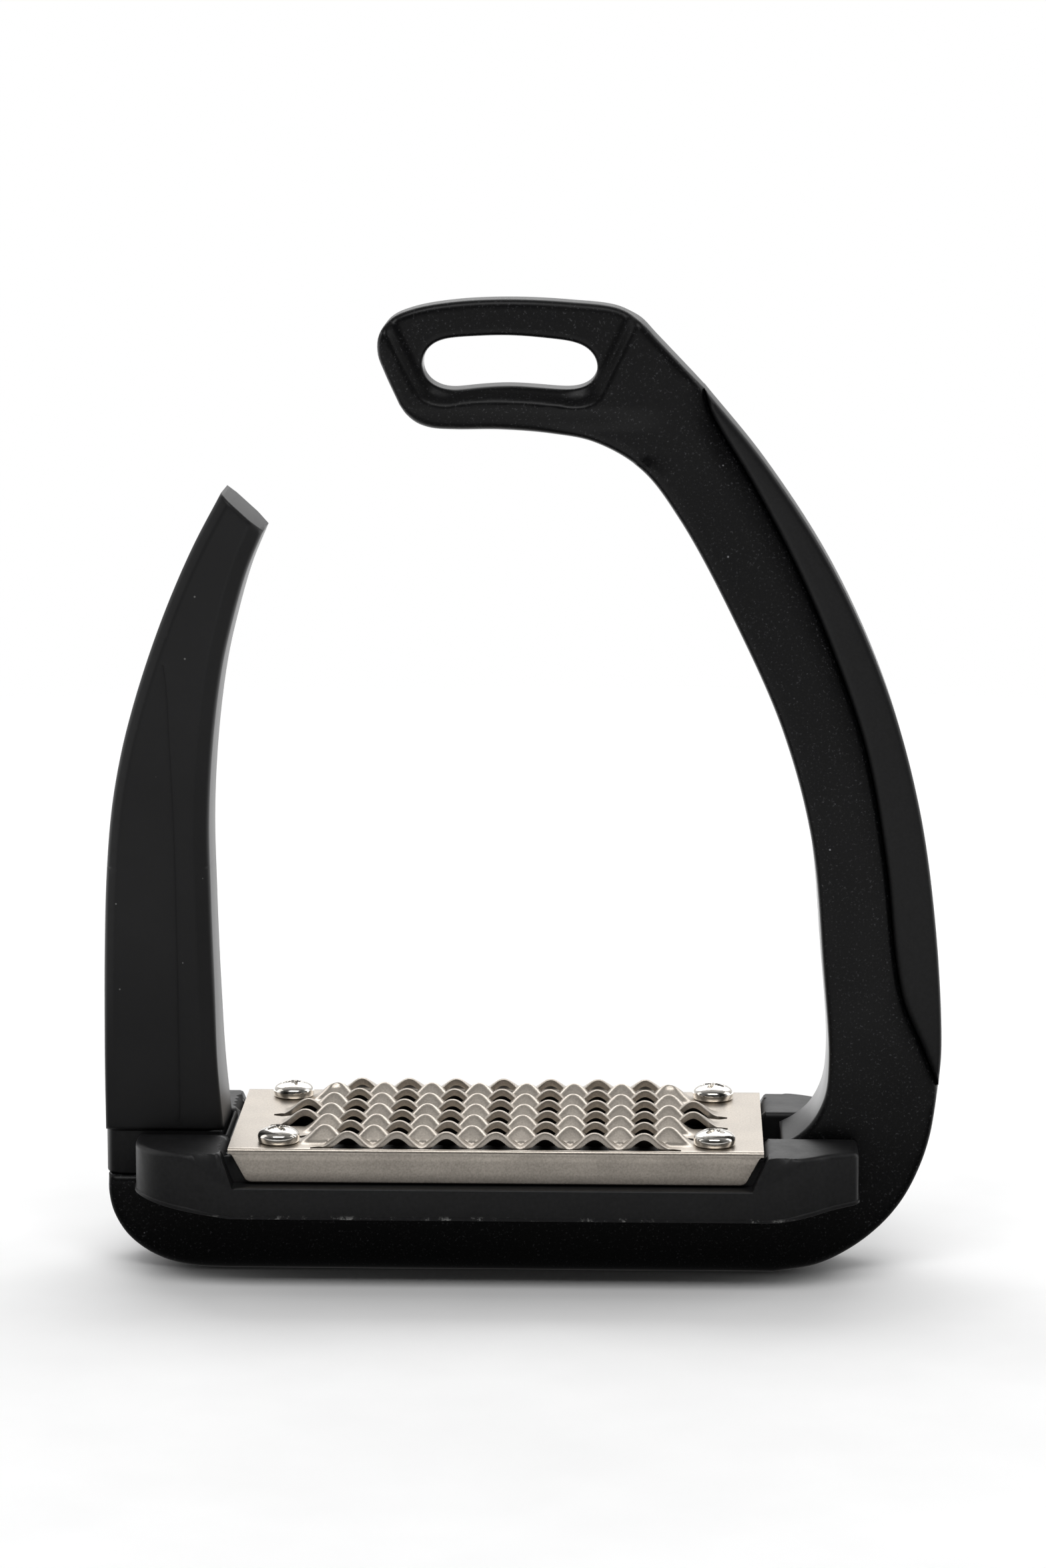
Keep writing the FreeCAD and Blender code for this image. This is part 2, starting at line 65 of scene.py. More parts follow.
def through(points, step=0.8):
    """Evenly spaced points on a smooth line through the given ones; two points give a straight run."""
    p = np.array(points, float)
    if len(p) > 2:
        ends = np.vstack([2 * p[0] - p[1], p, 2 * p[-1] - p[-2]])
        knots = np.concatenate([[0], np.cumsum(np.sqrt(np.linalg.norm(np.diff(ends, axis=0), axis=1)))])
        dense = []
        for i in range(1, len(ends) - 2):
            t0, t1, t2, t3 = knots[i - 1:i + 3]
            t = np.linspace(t1, t2, 24, endpoint=False)[:, None]
            a = (t1 - t) / (t1 - t0) * ends[i - 1] + (t - t0) / (t1 - t0) * ends[i]
            b = (t2 - t) / (t2 - t1) * ends[i] + (t - t1) / (t2 - t1) * ends[i + 1]
            c = (t3 - t) / (t3 - t2) * ends[i + 1] + (t - t2) / (t3 - t2) * ends[i + 2]
            ab = (t2 - t) / (t2 - t0) * a + (t - t0) / (t2 - t0) * b
            bc = (t3 - t) / (t3 - t1) * b + (t - t1) / (t3 - t1) * c
            dense.append((t2 - t) / (t2 - t1) * ab + (t - t1) / (t2 - t1) * bc)
        p = np.vstack(dense + [p[-1:]])
    run = np.concatenate([[0], np.cumsum(np.linalg.norm(np.diff(p, axis=0), axis=1))])
    n = max(2, int(round(run[-1] / step)) + 1)
    at = np.linspace(0, run[-1], n)
    return np.stack([np.interp(at, run, p[:, k]) for k in range(2)], 1)


def closed(*runs, step=0.8):
    """Closed outline made of smooth or straight runs that meet at their ends."""
    parts = [through(r, step)[:-1] for r in runs]
    return np.vstack(parts)


def off_line(pts, lines):
    """Distance from each point to the nearest of the given polylines."""
    best = np.full(len(pts), 1e9)
    for line in lines:
        a, b = line[:-1], line[1:]
        ab = b - a
        length = np.maximum((ab ** 2).sum(1), 1e-12)
        for k in range(0, len(pts), 4000):
            q = pts[k:k + 4000, None, :]
            t = np.clip(((q - a) * ab).sum(2) / length, 0, 1)
            gap = np.linalg.norm(q - (a + t[..., None] * ab), axis=2).min(1)
            best[k:k + 4000] = np.minimum(best[k:k + 4000], gap)
    return best


def inside(pts, loop):
    """True for the points that lie inside a closed outline."""
    a, b = loop, np.roll(loop, -1, 0)
    hit = np.zeros(len(pts), bool)
    for k in range(0, len(pts), 4000):
        q = pts[k:k + 4000]
        over = (a[None, :, 1] > q[:, None, 1]) != (b[None, :, 1] > q[:, None, 1])
        rise = np.where(np.abs(b[:, 1] - a[:, 1]) < 1e-12, 1e-12, b[:, 1] - a[:, 1])
        x = a[:, 0] + (q[:, None, 1] - a[:, 1]) / rise * (b[:, 0] - a[:, 0])
        hit[k:k + 4000] = ((over & (q[:, None, 0] < x)).sum(1) % 2) == 1
    return hit


def rolled(d, r):
    """How much a rolled edge of radius r takes off the surface at distance d from the edge."""
    d = np.clip(d, 0, r)
    return r - np.sqrt(np.maximum(r * r - (r - d) ** 2, 0))


def ease(lo, hi, x):
    """Smooth step from 0 at lo to 1 at hi; lo may be the larger of the two."""
    t = np.clip((x - lo) / (hi - lo), 0, 1)
    return t * t * (3 - 2 * t)


ROLL_STEPS = [1 - math.cos(math.radians(a)) for a in (18, 36, 54, 72, 90)]


def hexes(lo, hi, size):
    """Staggered rows of points that fill a rectangle."""
    vs = np.arange(lo[1], hi[1], size * 0.866)
    us = np.arange(lo[0], hi[0], size)
    return np.array([(u + (j % 2) * size / 2, v) for j, v in enumerate(vs) for u in us])


def as_object(name, verts, faces, sharp):
    """A smooth-shaded object from millimetres; edges that turn more than the sharp angle stay crisp."""
    mesh = bpy.data.meshes.new(name)
    mesh.from_pydata((np.array(verts) * MM).tolist(), [], faces)
    mesh.polygons.foreach_set("use_smooth", [True] * len(mesh.polygons))
    mesh.set_sharp_from_angle(angle=math.radians(sharp))
    ob = bpy.data.objects.new(name, mesh)
    bpy.context.scene.collection.objects.link(ob)
    return ob


def relief(name, edge, front, back, place, holes=(), creases=(), roll=1.5, grain=1.6, fine=(),
           wall=((0, 0), (1, 0)), sharp=40):
    """A moulded or cast body between two height surfaces over a flat outline. Height functions take
    (u, v, distance to the edge); place turns (u, v, height) into x, y, z in millimetres. Creases
    are lines the mesh must follow, fine lists boxes with their own point spacing, and wall gives
    the side's profile as (share of the height, push outwards)."""
    loops = [edge] + list(holes)
    rings = [np.vstack([lp, lp[:1]]) for lp in loops]
    pts = [np.vstack(loops)]
    links = []
    base = 0
    for lp in loops:
        n = len(lp)
        links += [(base + i, base + (i + 1) % n) for i in range(n)]
        base += n
    for cr in creases:
        pts.append(cr)
        links += [(base + i, base + i + 1) for i in range(len(cr) - 1)]
        base += len(cr)
    fixed = np.vstack(pts)
    loose = []
    for lp in loops:
        turn = np.roll(lp, -1, 0) - np.roll(lp, 1, 0)
        turn /= np.maximum(np.linalg.norm(turn, axis=1), 1e-9)[:, None]
        normal = np.stack([-turn[:, 1], turn[:, 0]], 1)
        area = (lp[:, 0] * np.roll(lp[:, 1], -1) - lp[:, 1] * np.roll(lp[:, 0], -1)).sum()
        if (area > 0) != (lp is edge):
            normal = -normal
        for s in ROLL_STEPS:
            row = lp + normal * s * roll
            keep = off_line(row, rings) > 0.96 * s * roll
            loose.append(row[keep])
    grid = hexes(edge.min(0), edge.max(0), grain)
    for f0, f1, f2, f3, size in fine:
        out = ~((grid[:, 0] > f0) & (grid[:, 0] < f2) & (grid[:, 1] > f1) & (grid[:, 1] < f3))
        grid = np.vstack([grid[out], hexes((f0, f1), (f2, f3), size)])
    grid = grid[inside(grid, edge)]
    grid = grid[off_line(grid, rings) > roll * 1.1 + 0.15]
    loose.append(grid)
    loose = np.vstack(loose)
    if creases:
        loose = loose[off_line(loose, list(creases)) > 0.16]
    allp = np.vstack([fixed, loose])
    verts, _, tris, _, _, _ = delaunay_2d_cdt([Vector(p) for p in allp], links, [], 0, 1e-5)
    uv = np.array([tuple(v) for v in verts])
    tris = np.array([t for t in tris if len(t) == 3])
    mid = uv[tris].mean(1)
    keep = inside(mid, edge)
    for h in holes:
        keep &= ~inside(mid, h)
    tris = tris[keep]
    cross = uv[tris[:, 1]] - uv[tris[:, 0]], uv[tris[:, 2]] - uv[tris[:, 0]]
    flip = cross[0][:, 0] * cross[1][:, 1] - cross[0][:, 1] * cross[1][:, 0] < 0
    tris[flip] = tris[flip][:, ::-1]
    used = np.unique(tris)
    remap = -np.ones(len(uv), int)
    remap[used] = np.arange(len(used))
    uv, tris = uv[used], remap[tris]
    d = off_line(uv, rings)
    n = len(uv)
    top, bottom = front(uv[:, 0], uv[:, 1], d), back(uv[:, 0], uv[:, 1], d)
    edges = {}
    for a, b, c in tris:
        for e in ((a, b), (b, c), (c, a)):
            edges[e] = True
    rim = [(a, b) for a, b in edges if (b, a) not in edges]
    outward = np.zeros((n, 2))
    for a, b in rim:
        t = uv[b] - uv[a]
        outward[a] += (t[1], -t[0])
        outward[b] += (t[1], -t[0])
    outward /= np.maximum(np.linalg.norm(outward, axis=1), 1e-9)[:, None]
    co = [place(uv[:, 0], uv[:, 1], top), place(uv[:, 0], uv[:, 1], bottom)]
    faces = [tuple(t) for t in tris] + [tuple(n + i for i in t[::-1]) for t in tris]
    rim_ids = sorted({i for e in rim for i in e})
    layer = {i: k for k, i in enumerate(rim_ids)}
    rows = [None] + list(wall[1:-1])
    starts = {0: lambda i: n + i}
    base = 2 * n
    for r, (share, push) in enumerate(wall[1:-1], 1):
        q = uv[rim_ids] + outward[rim_ids] * push
        h = bottom[rim_ids] + (top[rim_ids] - bottom[rim_ids]) * share
        co.append(place(q[:, 0], q[:, 1], h))
        starts[r] = lambda i, b=base: b + layer[i]
        base += len(rim_ids)
    last = len(rows)
    starts[last] = lambda i: i
    for a, b in rim:
        for r in range(last):
            faces.append((starts[r](a), starts[r](b), starts[r + 1](b), starts[r + 1](a)))
    return as_object(name, np.vstack(co), faces, sharp)


def upright(u, v, h):
    """Outline in the XZ plane, height towards the front (-Y)."""
    return np.stack([u, -h, v], 1)


def tone(code):
    """sRGB hex value to linear colour."""
    parts = [int(code[i:i + 2], 16) / 255 for i in (1, 3, 5)]
    return tuple(c / 12.92 if c <= 0.04045 else ((c + 0.055) / 1.055) ** 2.4 for c in parts) + (1.0,)


def add(tree, kind, links=None, **settings):
    """Adds one node. Settings name a socket or an attribute; links give (node, output) for a socket."""
    node = tree.nodes.new("ShaderNode" + kind)
    for key, value in settings.items():
        if hasattr(node, key):
            setattr(node, key, value)
        else:
            node.inputs[key.replace("_", " ")].default_value = value
    for key, (source, output) in (links or {}).items():
        tree.links.new(source.outputs[output], node.inputs[key])
    return node


def material(name):
    """An empty node material and its tree."""
    mat = bpy.data.materials.new(name)
    mat.use_nodes = True
    mat.node_tree.nodes.clear()
    return mat, mat.node_tree


def ramp_set(ramp, *stops):
    """Places the colour stops of a ramp as (position, hex)."""
    stones = ramp.color_ramp.elements
    while len(stones) < len(stops):
        stones.new(0.5)
    for stone, (at, code) in zip(stones, stops):
        stone.position = at
        stone.color = tone(code)
    return ramp


# Black anodised cast aluminium: a deep black with a faint grain, dull except at grazing light.
# The blast grit was about 0.25 mm; it is drawn at 0.45 mm so it shows, with a few specks of dust.
anodised, t = material("black_anodised_blasted_aluminium")
where = add(t, "TexCoord")
grit = add(t, "TexNoise", {"Vector": (where, "Object")}, Scale=1 / (0.45 * MM), Detail=3.0, Roughness=0.6)
patch = add(t, "TexNoise", {"Vector": (where, "Object")}, Scale=1 / (22 * MM), Detail=2.0)
body = ramp_set(add(t, "ValToRGB", {"Fac": (grit, "Fac")}),
                (0.35, "#030304"), (0.60, "#080809"), (0.74, "#3c3c3e"))
dust = add(t, "TexVoronoi", {"Vector": (where, "Object")}, Scale=1 / (9.0 * MM), Randomness=1.0)
speck = ramp_set(add(t, "ValToRGB", {"Fac": (dust, "Distance")}), (0.018, "#ffffff"), (0.026, "#000000"))
grains = add(t, "MixRGB", {"Fac": (speck, "Color"), "Color1": (body, "Color")}, Color2=tone("#77777a"))
gloss = add(t, "MapRange", {"Value": (patch, "Fac")}, From_Min=0.3, From_Max=0.7, To_Min=0.32, To_Max=0.42)
bump = add(t, "Bump", {"Height": (grit, "Fac")}, Strength=0.16, Distance=0.06 * MM)
skin = add(t, "BsdfPrincipled", {"Base Color": (grains, "Color"), "Roughness": (gloss, "Result"),
                                 "Normal": (bump, "Normal")}, IOR=1.5, Specular_IOR_Level=0.18)
add(t, "OutputMaterial", {"Surface": (skin, "BSDF")})

FRAME_HALF_LOW = 10.0            # half thickness at the base
FRAME_HALF_TOP = 7.0             # half thickness at the eye
EDGE_ROLL = 1.5
INSERT_TOP = (35.2, 174.5)
INSERT_BOTTOM = (81.9, 38.0)
INSERT_LINE = [INSERT_TOP, (36.6, 169.8), (44.7, 156.0), (52.9, 140.6), (60.6, 123.0), (67.1, 104.0),
               (71.2, 82.0), (73.3, 63.0), (75.0, 54.5), (78.6, 46.0), INSERT_BOTTOM]
BACK_EDGE = [INSERT_BOTTOM, (82.4, 46.0), (80.9, 70.0), (77.4, 93.4), (71.0, 116.0), (60.5, 139.3),
             (47.2, 159.8), INSERT_TOP]
BEAM_TOP = 19.0
BRANCH_FOOT = 51.2


def half_thickness(z):
    """The casting thins smoothly from the base to the eye."""
    return FRAME_HALF_LOW - (FRAME_HALF_LOW - FRAME_HALF_TOP) * ease(55, 170, z)


casting_edge = closed(
    [(-58.0, 0.0), (50.0, 0.0)],
    [(50.0, 0.0), (58.6, 1.7), (65.4, 5.2), (71.2, 10.0), (75.3, 15.2), (78.4, 21.5), (80.4, 28.0),
     INSERT_BOTTOM],
    INSERT_LINE[::-1],
    [INSERT_TOP, (25.8, 184.3)],
    [(25.8, 184.3), (22.9, 187.3), (18.6, 189.7), (9.0, 190.9), (-2.5, 191.4), (-13.0, 190.9), (-21.0, 189.5),
     (-25.3, 187.6), (-27.5, 184.4), (-27.7, 180.9), (-26.4, 177.3), (-23.6, 171.2)],
    [(-23.6, 171.2), (-22.3, 169.3), (-20.3, 167.6), (-17.5, 166.6), (-13.0, 166.3), (-4.0, 166.3),
     (6.0, 165.5), (14.0, 163.9), (23.0, 158.8), (30.6, 149.0), (41.6, 128.7), (50.8, 108.0), (56.5, 87.0),
     (58.9, 63.0), (60.3, 43.0), (59.6, 35.6), (57.2, 30.6), (54.0, 27.7), (BRANCH_FOOT, 26.2)],
    [(BRANCH_FOOT, 26.2), (BRANCH_FOOT, BEAM_TOP)],
    [(BRANCH_FOOT, BEAM_TOP), (-81.6, BEAM_TOP)],
    [(-81.6, BEAM_TOP), (-81.6, 15.2), (-80.7, 11.2), (-78.2, 6.9), (-74.4, 3.6), (-69.8, 1.4),
     (-64.5, 0.3), (-58.0, 0.0)])
strap_slot = closed(
    [(-14.6, 183.9), (-2.5, 184.4), (9.4, 183.4)],
    [(9.4, 183.4), (12.6, 182.3), (14.6, 179.9), (14.8, 177.2), (13.4, 175.0), (9.8, 173.9)],
    [(9.8, 173.9), (4.0, 174.4), (-2.5, 174.8), (-9.0, 174.4), (-14.2, 173.7)],
    [(-14.2, 173.7), (-17.6, 175.0), (-19.4, 177.4), (-19.3, 180.3), (-17.6, 182.8), (-14.6, 183.9)],
    step=0.5)
for _ in range(30):              # eases the corners where the runs meet
    strap_slot = (np.roll(strap_slot, 1, 0) + 2 * strap_slot + np.roll(strap_slot, -1, 0)) / 4

# The recess for the leather: its rim, open at the top, and its ramp as (distance in, depth).
recess_rim = through([(-30.5, 192.0), (-26.6, 184.5), (-23.1, 177.4), (-20.8, 173.4), (-18.4, 171.4),
                      (-14.6, 170.6), (-11.5, 171.1), (-6.6, 171.5), (-0.2, 171.4), (6.6, 170.8),
                      (10.3, 170.3), (13.3, 170.9), (15.8, 172.8), (17.6, 176.2), (20.4, 182.0),
                      (25.4, 192.5)], 0.5)
recess_area = np.vstack([recess_rim, [(25.4, 200.0), (-30.5, 200.0)]])
RECESS_STEPS = [(0.0, 0.0), (0.35, 0.05), (0.8, 0.45), (2.1, 2.05), (2.35, 2.2), (3.1, 2.7)]
groove_line = through(INSERT_LINE)


def casting_face(u, v, d):
    """Front of the casting: rolled edges, the recessed eye, and the slope down to the trim's groove."""
    pts = np.stack([u, v], 1)
    high = (v > 160) & (u < 32)
    sunk = np.zeros(len(u))
    q = np.zeros(len(u))
    q[high] = off_line(pts[high], [recess_rim]) * inside(pts[high], recess_area)
    sunk[high] = np.interp(q[high], [s[0] for s in RECESS_STEPS], [s[1] for s in RECESS_STEPS])
    lip = np.zeros(len(u))
    gap = off_line(pts[high], [np.vstack([strap_slot, strap_slot[:1]])])
    lip[high] = rolled(gap, 1.1)
    outer = off_line(pts, [np.vstack([casting_edge, casting_edge[:1]])])
    under = 1.2 * ease(171.0, 166.0, v) * ease(30, 14, u) * (v < 171.4) * high
    beside = off_line(pts, [groove_line])
    soft = np.clip(1 - beside / 4.4, 0, 1) ** 2
    return half_thickness(v) - sunk - lip - rolled(outer, EDGE_ROLL) - under - soft


casting = relief(
    "casting", casting_edge, casting_face, lambda u, v, d: -casting_face(u, v, d), upright,
    holes=[strap_slot], creases=[recess_rim[(recess_rim[:, 1] < 188.2)]], roll=EDGE_ROLL, grain=1.8,
    fine=[(-28, 165, 27, 191.4, 0.55)])
casting.data.materials.append(anodised)
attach(casting, "stirrup")

# The hidden platform of the same casting, seen only from below.
PLATFORM_LEFT, PLATFORM_RIGHT, PLATFORM_HALF = -57.0, 50.6, 22.4
PLATFORM_LOW, PLATFORM_HIGH = 16.5, 21.9
corners = [(PLATFORM_LEFT, -PLATFORM_HALF), (PLATFORM_RIGHT, -PLATFORM_HALF),
           (PLATFORM_RIGHT, PLATFORM_HALF), (PLATFORM_LEFT, PLATFORM_HALF)]
platform_edge = closed(*[[corners[k - 1], corners[k]] for k in (1, 2, 3, 0)], step=3)


def flat(u, v, h):
    """Outline in the XY plane, height along Z."""
    return np.stack([u, v, h], 1)


platform = relief("platform", platform_edge, lambda u, v, d: 0 * u + PLATFORM_HIGH,
                  lambda u, v, d: PLATFORM_LOW + rolled(d, 0.8), flat, roll=0.8, grain=9)
platform.data.materials.append(anodised)
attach(platform, "stirrup")
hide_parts("frame")

# ---- the branch trim ----------------------------------------------------------------------
# A strip of matte black moulded plastic let into the outer edge of the branch and held by three
# pins. A groove of about half a millimetre shows where it meets the casting.

# Moulded black nylon: an even soft black, slightly paler than the casting.
trim_plastic, t = material("moulded_black_nylon")
where = add(t, "TexCoord")
grit = add(t, "TexNoise", {"Vector": (where, "Object")}, Scale=1 / (0.6 * MM), Detail=3.0)
grains = ramp_set(add(t, "ValToRGB", {"Fac": (grit, "Fac")}), (0.3, "#0b0b0c"), (0.8, "#141415"))
bump = add(t, "Bump", {"Height": (grit, "Fac")}, Strength=0.12, Distance=0.05 * MM)
skin = add(t, "BsdfPrincipled", {"Base Color": (grains, "Color"), "Normal": (bump, "Normal")},
           Roughness=0.44, IOR=1.5, Specular_IOR_Level=0.25)
add(t, "OutputMaterial", {"Surface": (skin, "BSDF")})

TRIM_ROLL = 1.3
trim_edge = closed(INSERT_LINE, BACK_EDGE)
trim = relief("branch_trim_skin", trim_edge, lambda u, v, d: half_thickness(v) - rolled(d, TRIM_ROLL),
              lambda u, v, d: -half_thickness(v) + rolled(d, TRIM_ROLL), upright, roll=TRIM_ROLL,
              grain=1.8)
trim.data.materials.append(trim_plastic)
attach(trim, "stirrup")
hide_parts("branch_trim")

# ---- the tread tray -----------------------------------------------------------------------
# Injection-moulded black plastic that wraps the platform. Its two ends stand up beside the steel
# plate, cut in a V so that the plate's folded flange shows; the low wall between them carries it.
# It comes out of the mould semi-matte, and handling leaves pale scuffs along its lower edge.

# Moulded black ABS: dark with a soft sheen. The scuffs are patches about 2.4 mm across beside the
# lower edge, with a few larger pale nicks anywhere.
tray_plastic, t = material("moulded_black_abs_tray")
where = add(t, "TexCoord")
grit = add(t, "TexNoise", {"Vector": (where, "Object")}, Scale=1 / (0.8 * MM), Detail=4.0)
wear = add(t, "TexNoise", {"Vector": (where, "Object")}, Scale=1 / (5.5 * MM), Detail=6.0, Roughness=0.7)
body = ramp_set(add(t, "ValToRGB", {"Fac": (grit, "Fac")}), (0.3, "#141415"), (0.75, "#1c1c1d"))
axes = add(t, "SeparateXYZ", {"Vector": (where, "Object")})
lip = add(t, "MapRange", {"Value": (axes, "Z")}, From_Min=15.9 * MM, From_Max=15.2 * MM)
rub = add(t, "TexNoise", {"Vector": (where, "Object")}, Scale=1 / (2.4 * MM), Detail=5.0, Roughness=0.8)
worn = ramp_set(add(t, "ValToRGB", {"Fac": (rub, "Fac")}), (0.55, "#000000"), (0.63, "#ffffff"))
nick = ramp_set(add(t, "ValToRGB", {"Fac": (wear, "Fac")}), (0.70, "#000000"), (0.74, "#8a8a8a"))
edge_wear = add(t, "Math", {0: (lip, "Result"), 1: (worn, "Color")}, operation="MULTIPLY")
scuff = add(t, "Math", {0: (edge_wear, "Value"), 1: (nick, "Color")}, operation="MAXIMUM")
tint = add(t, "MixRGB", {"Fac": (scuff, "Value"), "Color1": (body, "Color")}, Color2=tone("#7d7d7b"))
rough = add(t, "MapRange", {"Value": (wear, "Fac")}, From_Min=0.3, From_Max=0.7, To_Min=0.40, To_Max=0.52)
bump = add(t, "Bump", {"Height": (grit, "Fac")}, Strength=0.10, Distance=0.06 * MM)
skin = add(t, "BsdfPrincipled", {"Base Color": (tint, "Color"), "Roughness": (rough, "Result"),
                                 "Normal": (bump, "Normal")}, IOR=1.5, Specular_IOR_Level=0.28)
add(t, "OutputMaterial", {"Surface": (skin, "BSDF")})

PLATE_LEFT, PLATE_RIGHT = -56.5, 47.5
TRAY_TOP, TRAY_BOTTOM, TRAY_LEDGE = 27.6, 15.0, 21.2
TRAY_LEFT, TRAY_RIGHT, TRAY_HALF = -75.5, 66.0, 28.0
TRAY_DECK = 26.2                 # what the gasket lies on
NOTCH, NOTCH_END = FRAME_HALF_LOW + 0.3, 47.8
PLATE_HALF = 25.0
WINDOW_TOP = (PLATE_LEFT - 1.5, PLATE_RIGHT + 0.9)
WINDOW_LOW = (PLATE_LEFT + 1.0, PLATE_RIGHT - 2.2)
FACET_TOP = (-66.0, 57.5)

tray_edge = closed(
    [(TRAY_LEFT, -NOTCH), (TRAY_LEFT, -14.5)],
    [(TRAY_LEFT, -14.5), (-75.0, -18.2), (-73.2, -21.6), (-70.2, -24.6), (-66.0, -26.8), (-61.5, -27.8),
     (-57.0, -TRAY_HALF)],
    [(-57.0, -TRAY_HALF), (49.0, -TRAY_HALF)],
    [(49.0, -TRAY_HALF), (53.5, -27.7), (57.0, -26.2), (60.4, -23.9), (63.0, -22.8),
     (TRAY_RIGHT - 1.6, -22.3)],
    [(TRAY_RIGHT - 1.6, -22.3), (TRAY_RIGHT - 0.5, -21.8), (TRAY_RIGHT, -20.7)],
    [(TRAY_RIGHT, -20.7), (TRAY_RIGHT, -NOTCH)],
    [(TRAY_RIGHT, -NOTCH), (NOTCH_END, -NOTCH)],
    [(NOTCH_END, -NOTCH), (NOTCH_END, NOTCH)],
    [(NOTCH_END, NOTCH), (TRAY_RIGHT, NOTCH)],
    [(TRAY_RIGHT, NOTCH), (TRAY_RIGHT, 20.7)],
    [(TRAY_RIGHT, 20.7), (TRAY_RIGHT - 0.5, 21.8), (TRAY_RIGHT - 1.6, 22.3)],
    [(TRAY_RIGHT - 1.6, 22.3), (63.0, 22.8), (60.4, 23.9), (57.0, 26.2), (53.5, 27.7), (49.0, TRAY_HALF)],
    [(49.0, TRAY_HALF), (-57.0, TRAY_HALF)],
    [(-57.0, TRAY_HALF), (-61.5, 27.8), (-66.0, 26.8), (-70.2, 24.6), (-73.2, 21.6), (-75.0, 18.2),
     (TRAY_LEFT, 14.5)],
    [(TRAY_LEFT, 14.5), (TRAY_LEFT, NOTCH)],
    [(TRAY_LEFT, NOTCH), (-58.6, NOTCH)],
    [(-58.6, NOTCH), (-58.6, -NOTCH)],
    [(-58.6, -NOTCH), (TRAY_LEFT, -NOTCH)])


def tray_top(u, v, d):
    """Top of the tray: high ends, V-shaped window edges, sloping corner facets and the sunk deck."""
    y = np.abs(v)
    inner = PLATE_HALF - 1.4
    drop = TRAY_TOP - TRAY_LEDGE
    left_v = TRAY_TOP - drop * np.clip((u - WINDOW_TOP[0]) / (WINDOW_LOW[0] - WINDOW_TOP[0]), 0, 1)
    right_v = TRAY_TOP - drop * np.clip((WINDOW_TOP[1] - u) / (WINDOW_TOP[1] - WINDOW_LOW[1]), 0, 1)
    ends = np.where(u < 0, left_v, right_v)
    left_f = TRAY_TOP - drop * np.clip((u - FACET_TOP[0]) / (WINDOW_LOW[0] - FACET_TOP[0]), 0, 1)
    right_f = TRAY_TOP - drop * np.clip((FACET_TOP[1] - u) / (FACET_TOP[1] - WINDOW_LOW[1]), 0, 1)
    front = np.where(u < 0, left_f, right_f)
    slope = np.clip((TRAY_HALF - y) / 2.6, 0, 1)
    outer = np.minimum(ends, front + (TRAY_TOP + 3 - front) * slope)
    deck = TRAY_LEDGE + (TRAY_DECK - TRAY_LEDGE) * np.clip((inner - y) / 0.6, 0, 1)
    between = (u > PLATE_LEFT - 1.1) & (u < PLATE_RIGHT + 0.5) & (y < inner)
    high = np.where(between, deck, outer)
    tall = ease(21.4, 24.5, high)
    return high - rolled(d, 1.1) * tall - rolled(d, 0.5) * (1 - tall)


def tray_under(u, v, d):
    """Underside: it rises at both ends and is hollow over the platform."""
    y = np.abs(v)
    rise = 2.7 * np.clip((-56 - u) / 19, 0, 1) + 2.3 * np.clip((u - 50) / 16, 0, 1)
    pocket = (u > -57.3) & (u < 51.0) & (y < 22.7)
    beam = (y < 9.4) & (u < -56.5)
    return np.where(pocket, PLATFORM_HIGH, np.where(beam, BEAM_TOP, TRAY_BOTTOM + rise))


# Mesh lines along the window's and the facets' edges, so that these stay straight and crisp.
window_lines = []
for s in (-1, 1):
    y_in, y_out = s * (PLATE_HALF - 1.4), s * 27.95
    for x in WINDOW_TOP + WINDOW_LOW:
        window_lines.append(np.array([(x, y_in), (x, s * 26.5), (x, y_out)]))
    window_lines.append(through([(WINDOW_LOW[0], y_in), (WINDOW_LOW[1], y_in)], 2.0))
    window_lines.append(through([(WINDOW_LOW[0], y_in - s * 0.6), (WINDOW_LOW[1], y_in - s * 0.6)], 2.0))
    window_lines.append(through([(FACET_TOP[0], s * 27.0), (WINDOW_TOP[0], s * 25.5)], 1.0))
tray = relief("tray_shell", tray_edge, tray_top, tray_under, flat, creases=window_lines, roll=1.1,
              grain=1.5, fine=[(x0, y0, x1, y0 + 4.6, 0.42) for x0, x1 in ((-68, -53.5), (43.5, 59.5))
                               for y0 in (-27.6, 23.0)],
              wall=((0, 0), (0.02, 0.25), (0.07, 0.25), (0.09, 0), (1, 0)))
tray.data.materials.append(tray_plastic)
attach(tray, "stirrup")
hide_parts("tread_base")

# ---- the tread plate ----------------------------------------------------------------------
# A stainless sheet, 1.2 mm thick and drawn at 1.0 mm, with its long sides folded down. Six slits
# are cut along it and the metal on both sides of each is pushed up into rounded teeth, which lean
# away from the slit. It is bead-blasted after forming.

# Bead-blasted stainless: a soft warm grey with no grain direction, brighter on the teeth's rims.
plate_steel, t = material("bead_blasted_stainless_sheet")
where = add(t, "TexCoord")
grit = add(t, "TexNoise", {"Vector": (where, "Object")}, Scale=1 / (0.35 * MM), Detail=3.0)
cloud = add(t, "TexNoise", {"Vector": (where, "Object")}, Scale=1 / (9 * MM), Detail=3.0)
metal = ramp_set(add(t, "ValToRGB", {"Fac": (grit, "Fac")}), (0.3, "#a8a096"), (0.7, "#bfb7ad"))
rough = add(t, "MapRange", {"Value": (cloud, "Fac")}, From_Min=0.3, From_Max=0.7, To_Min=0.31, To_Max=0.39)
bump = add(t, "Bump", {"Height": (grit, "Fac")}, Strength=0.14, Distance=0.05 * MM)
skin = add(t, "BsdfPrincipled", {"Base Color": (metal, "Color"), "Roughness": (rough, "Result"),
                                 "Normal": (bump, "Normal")}, Metallic=1.0)
add(t, "OutputMaterial", {"Surface": (skin, "BSDF")})

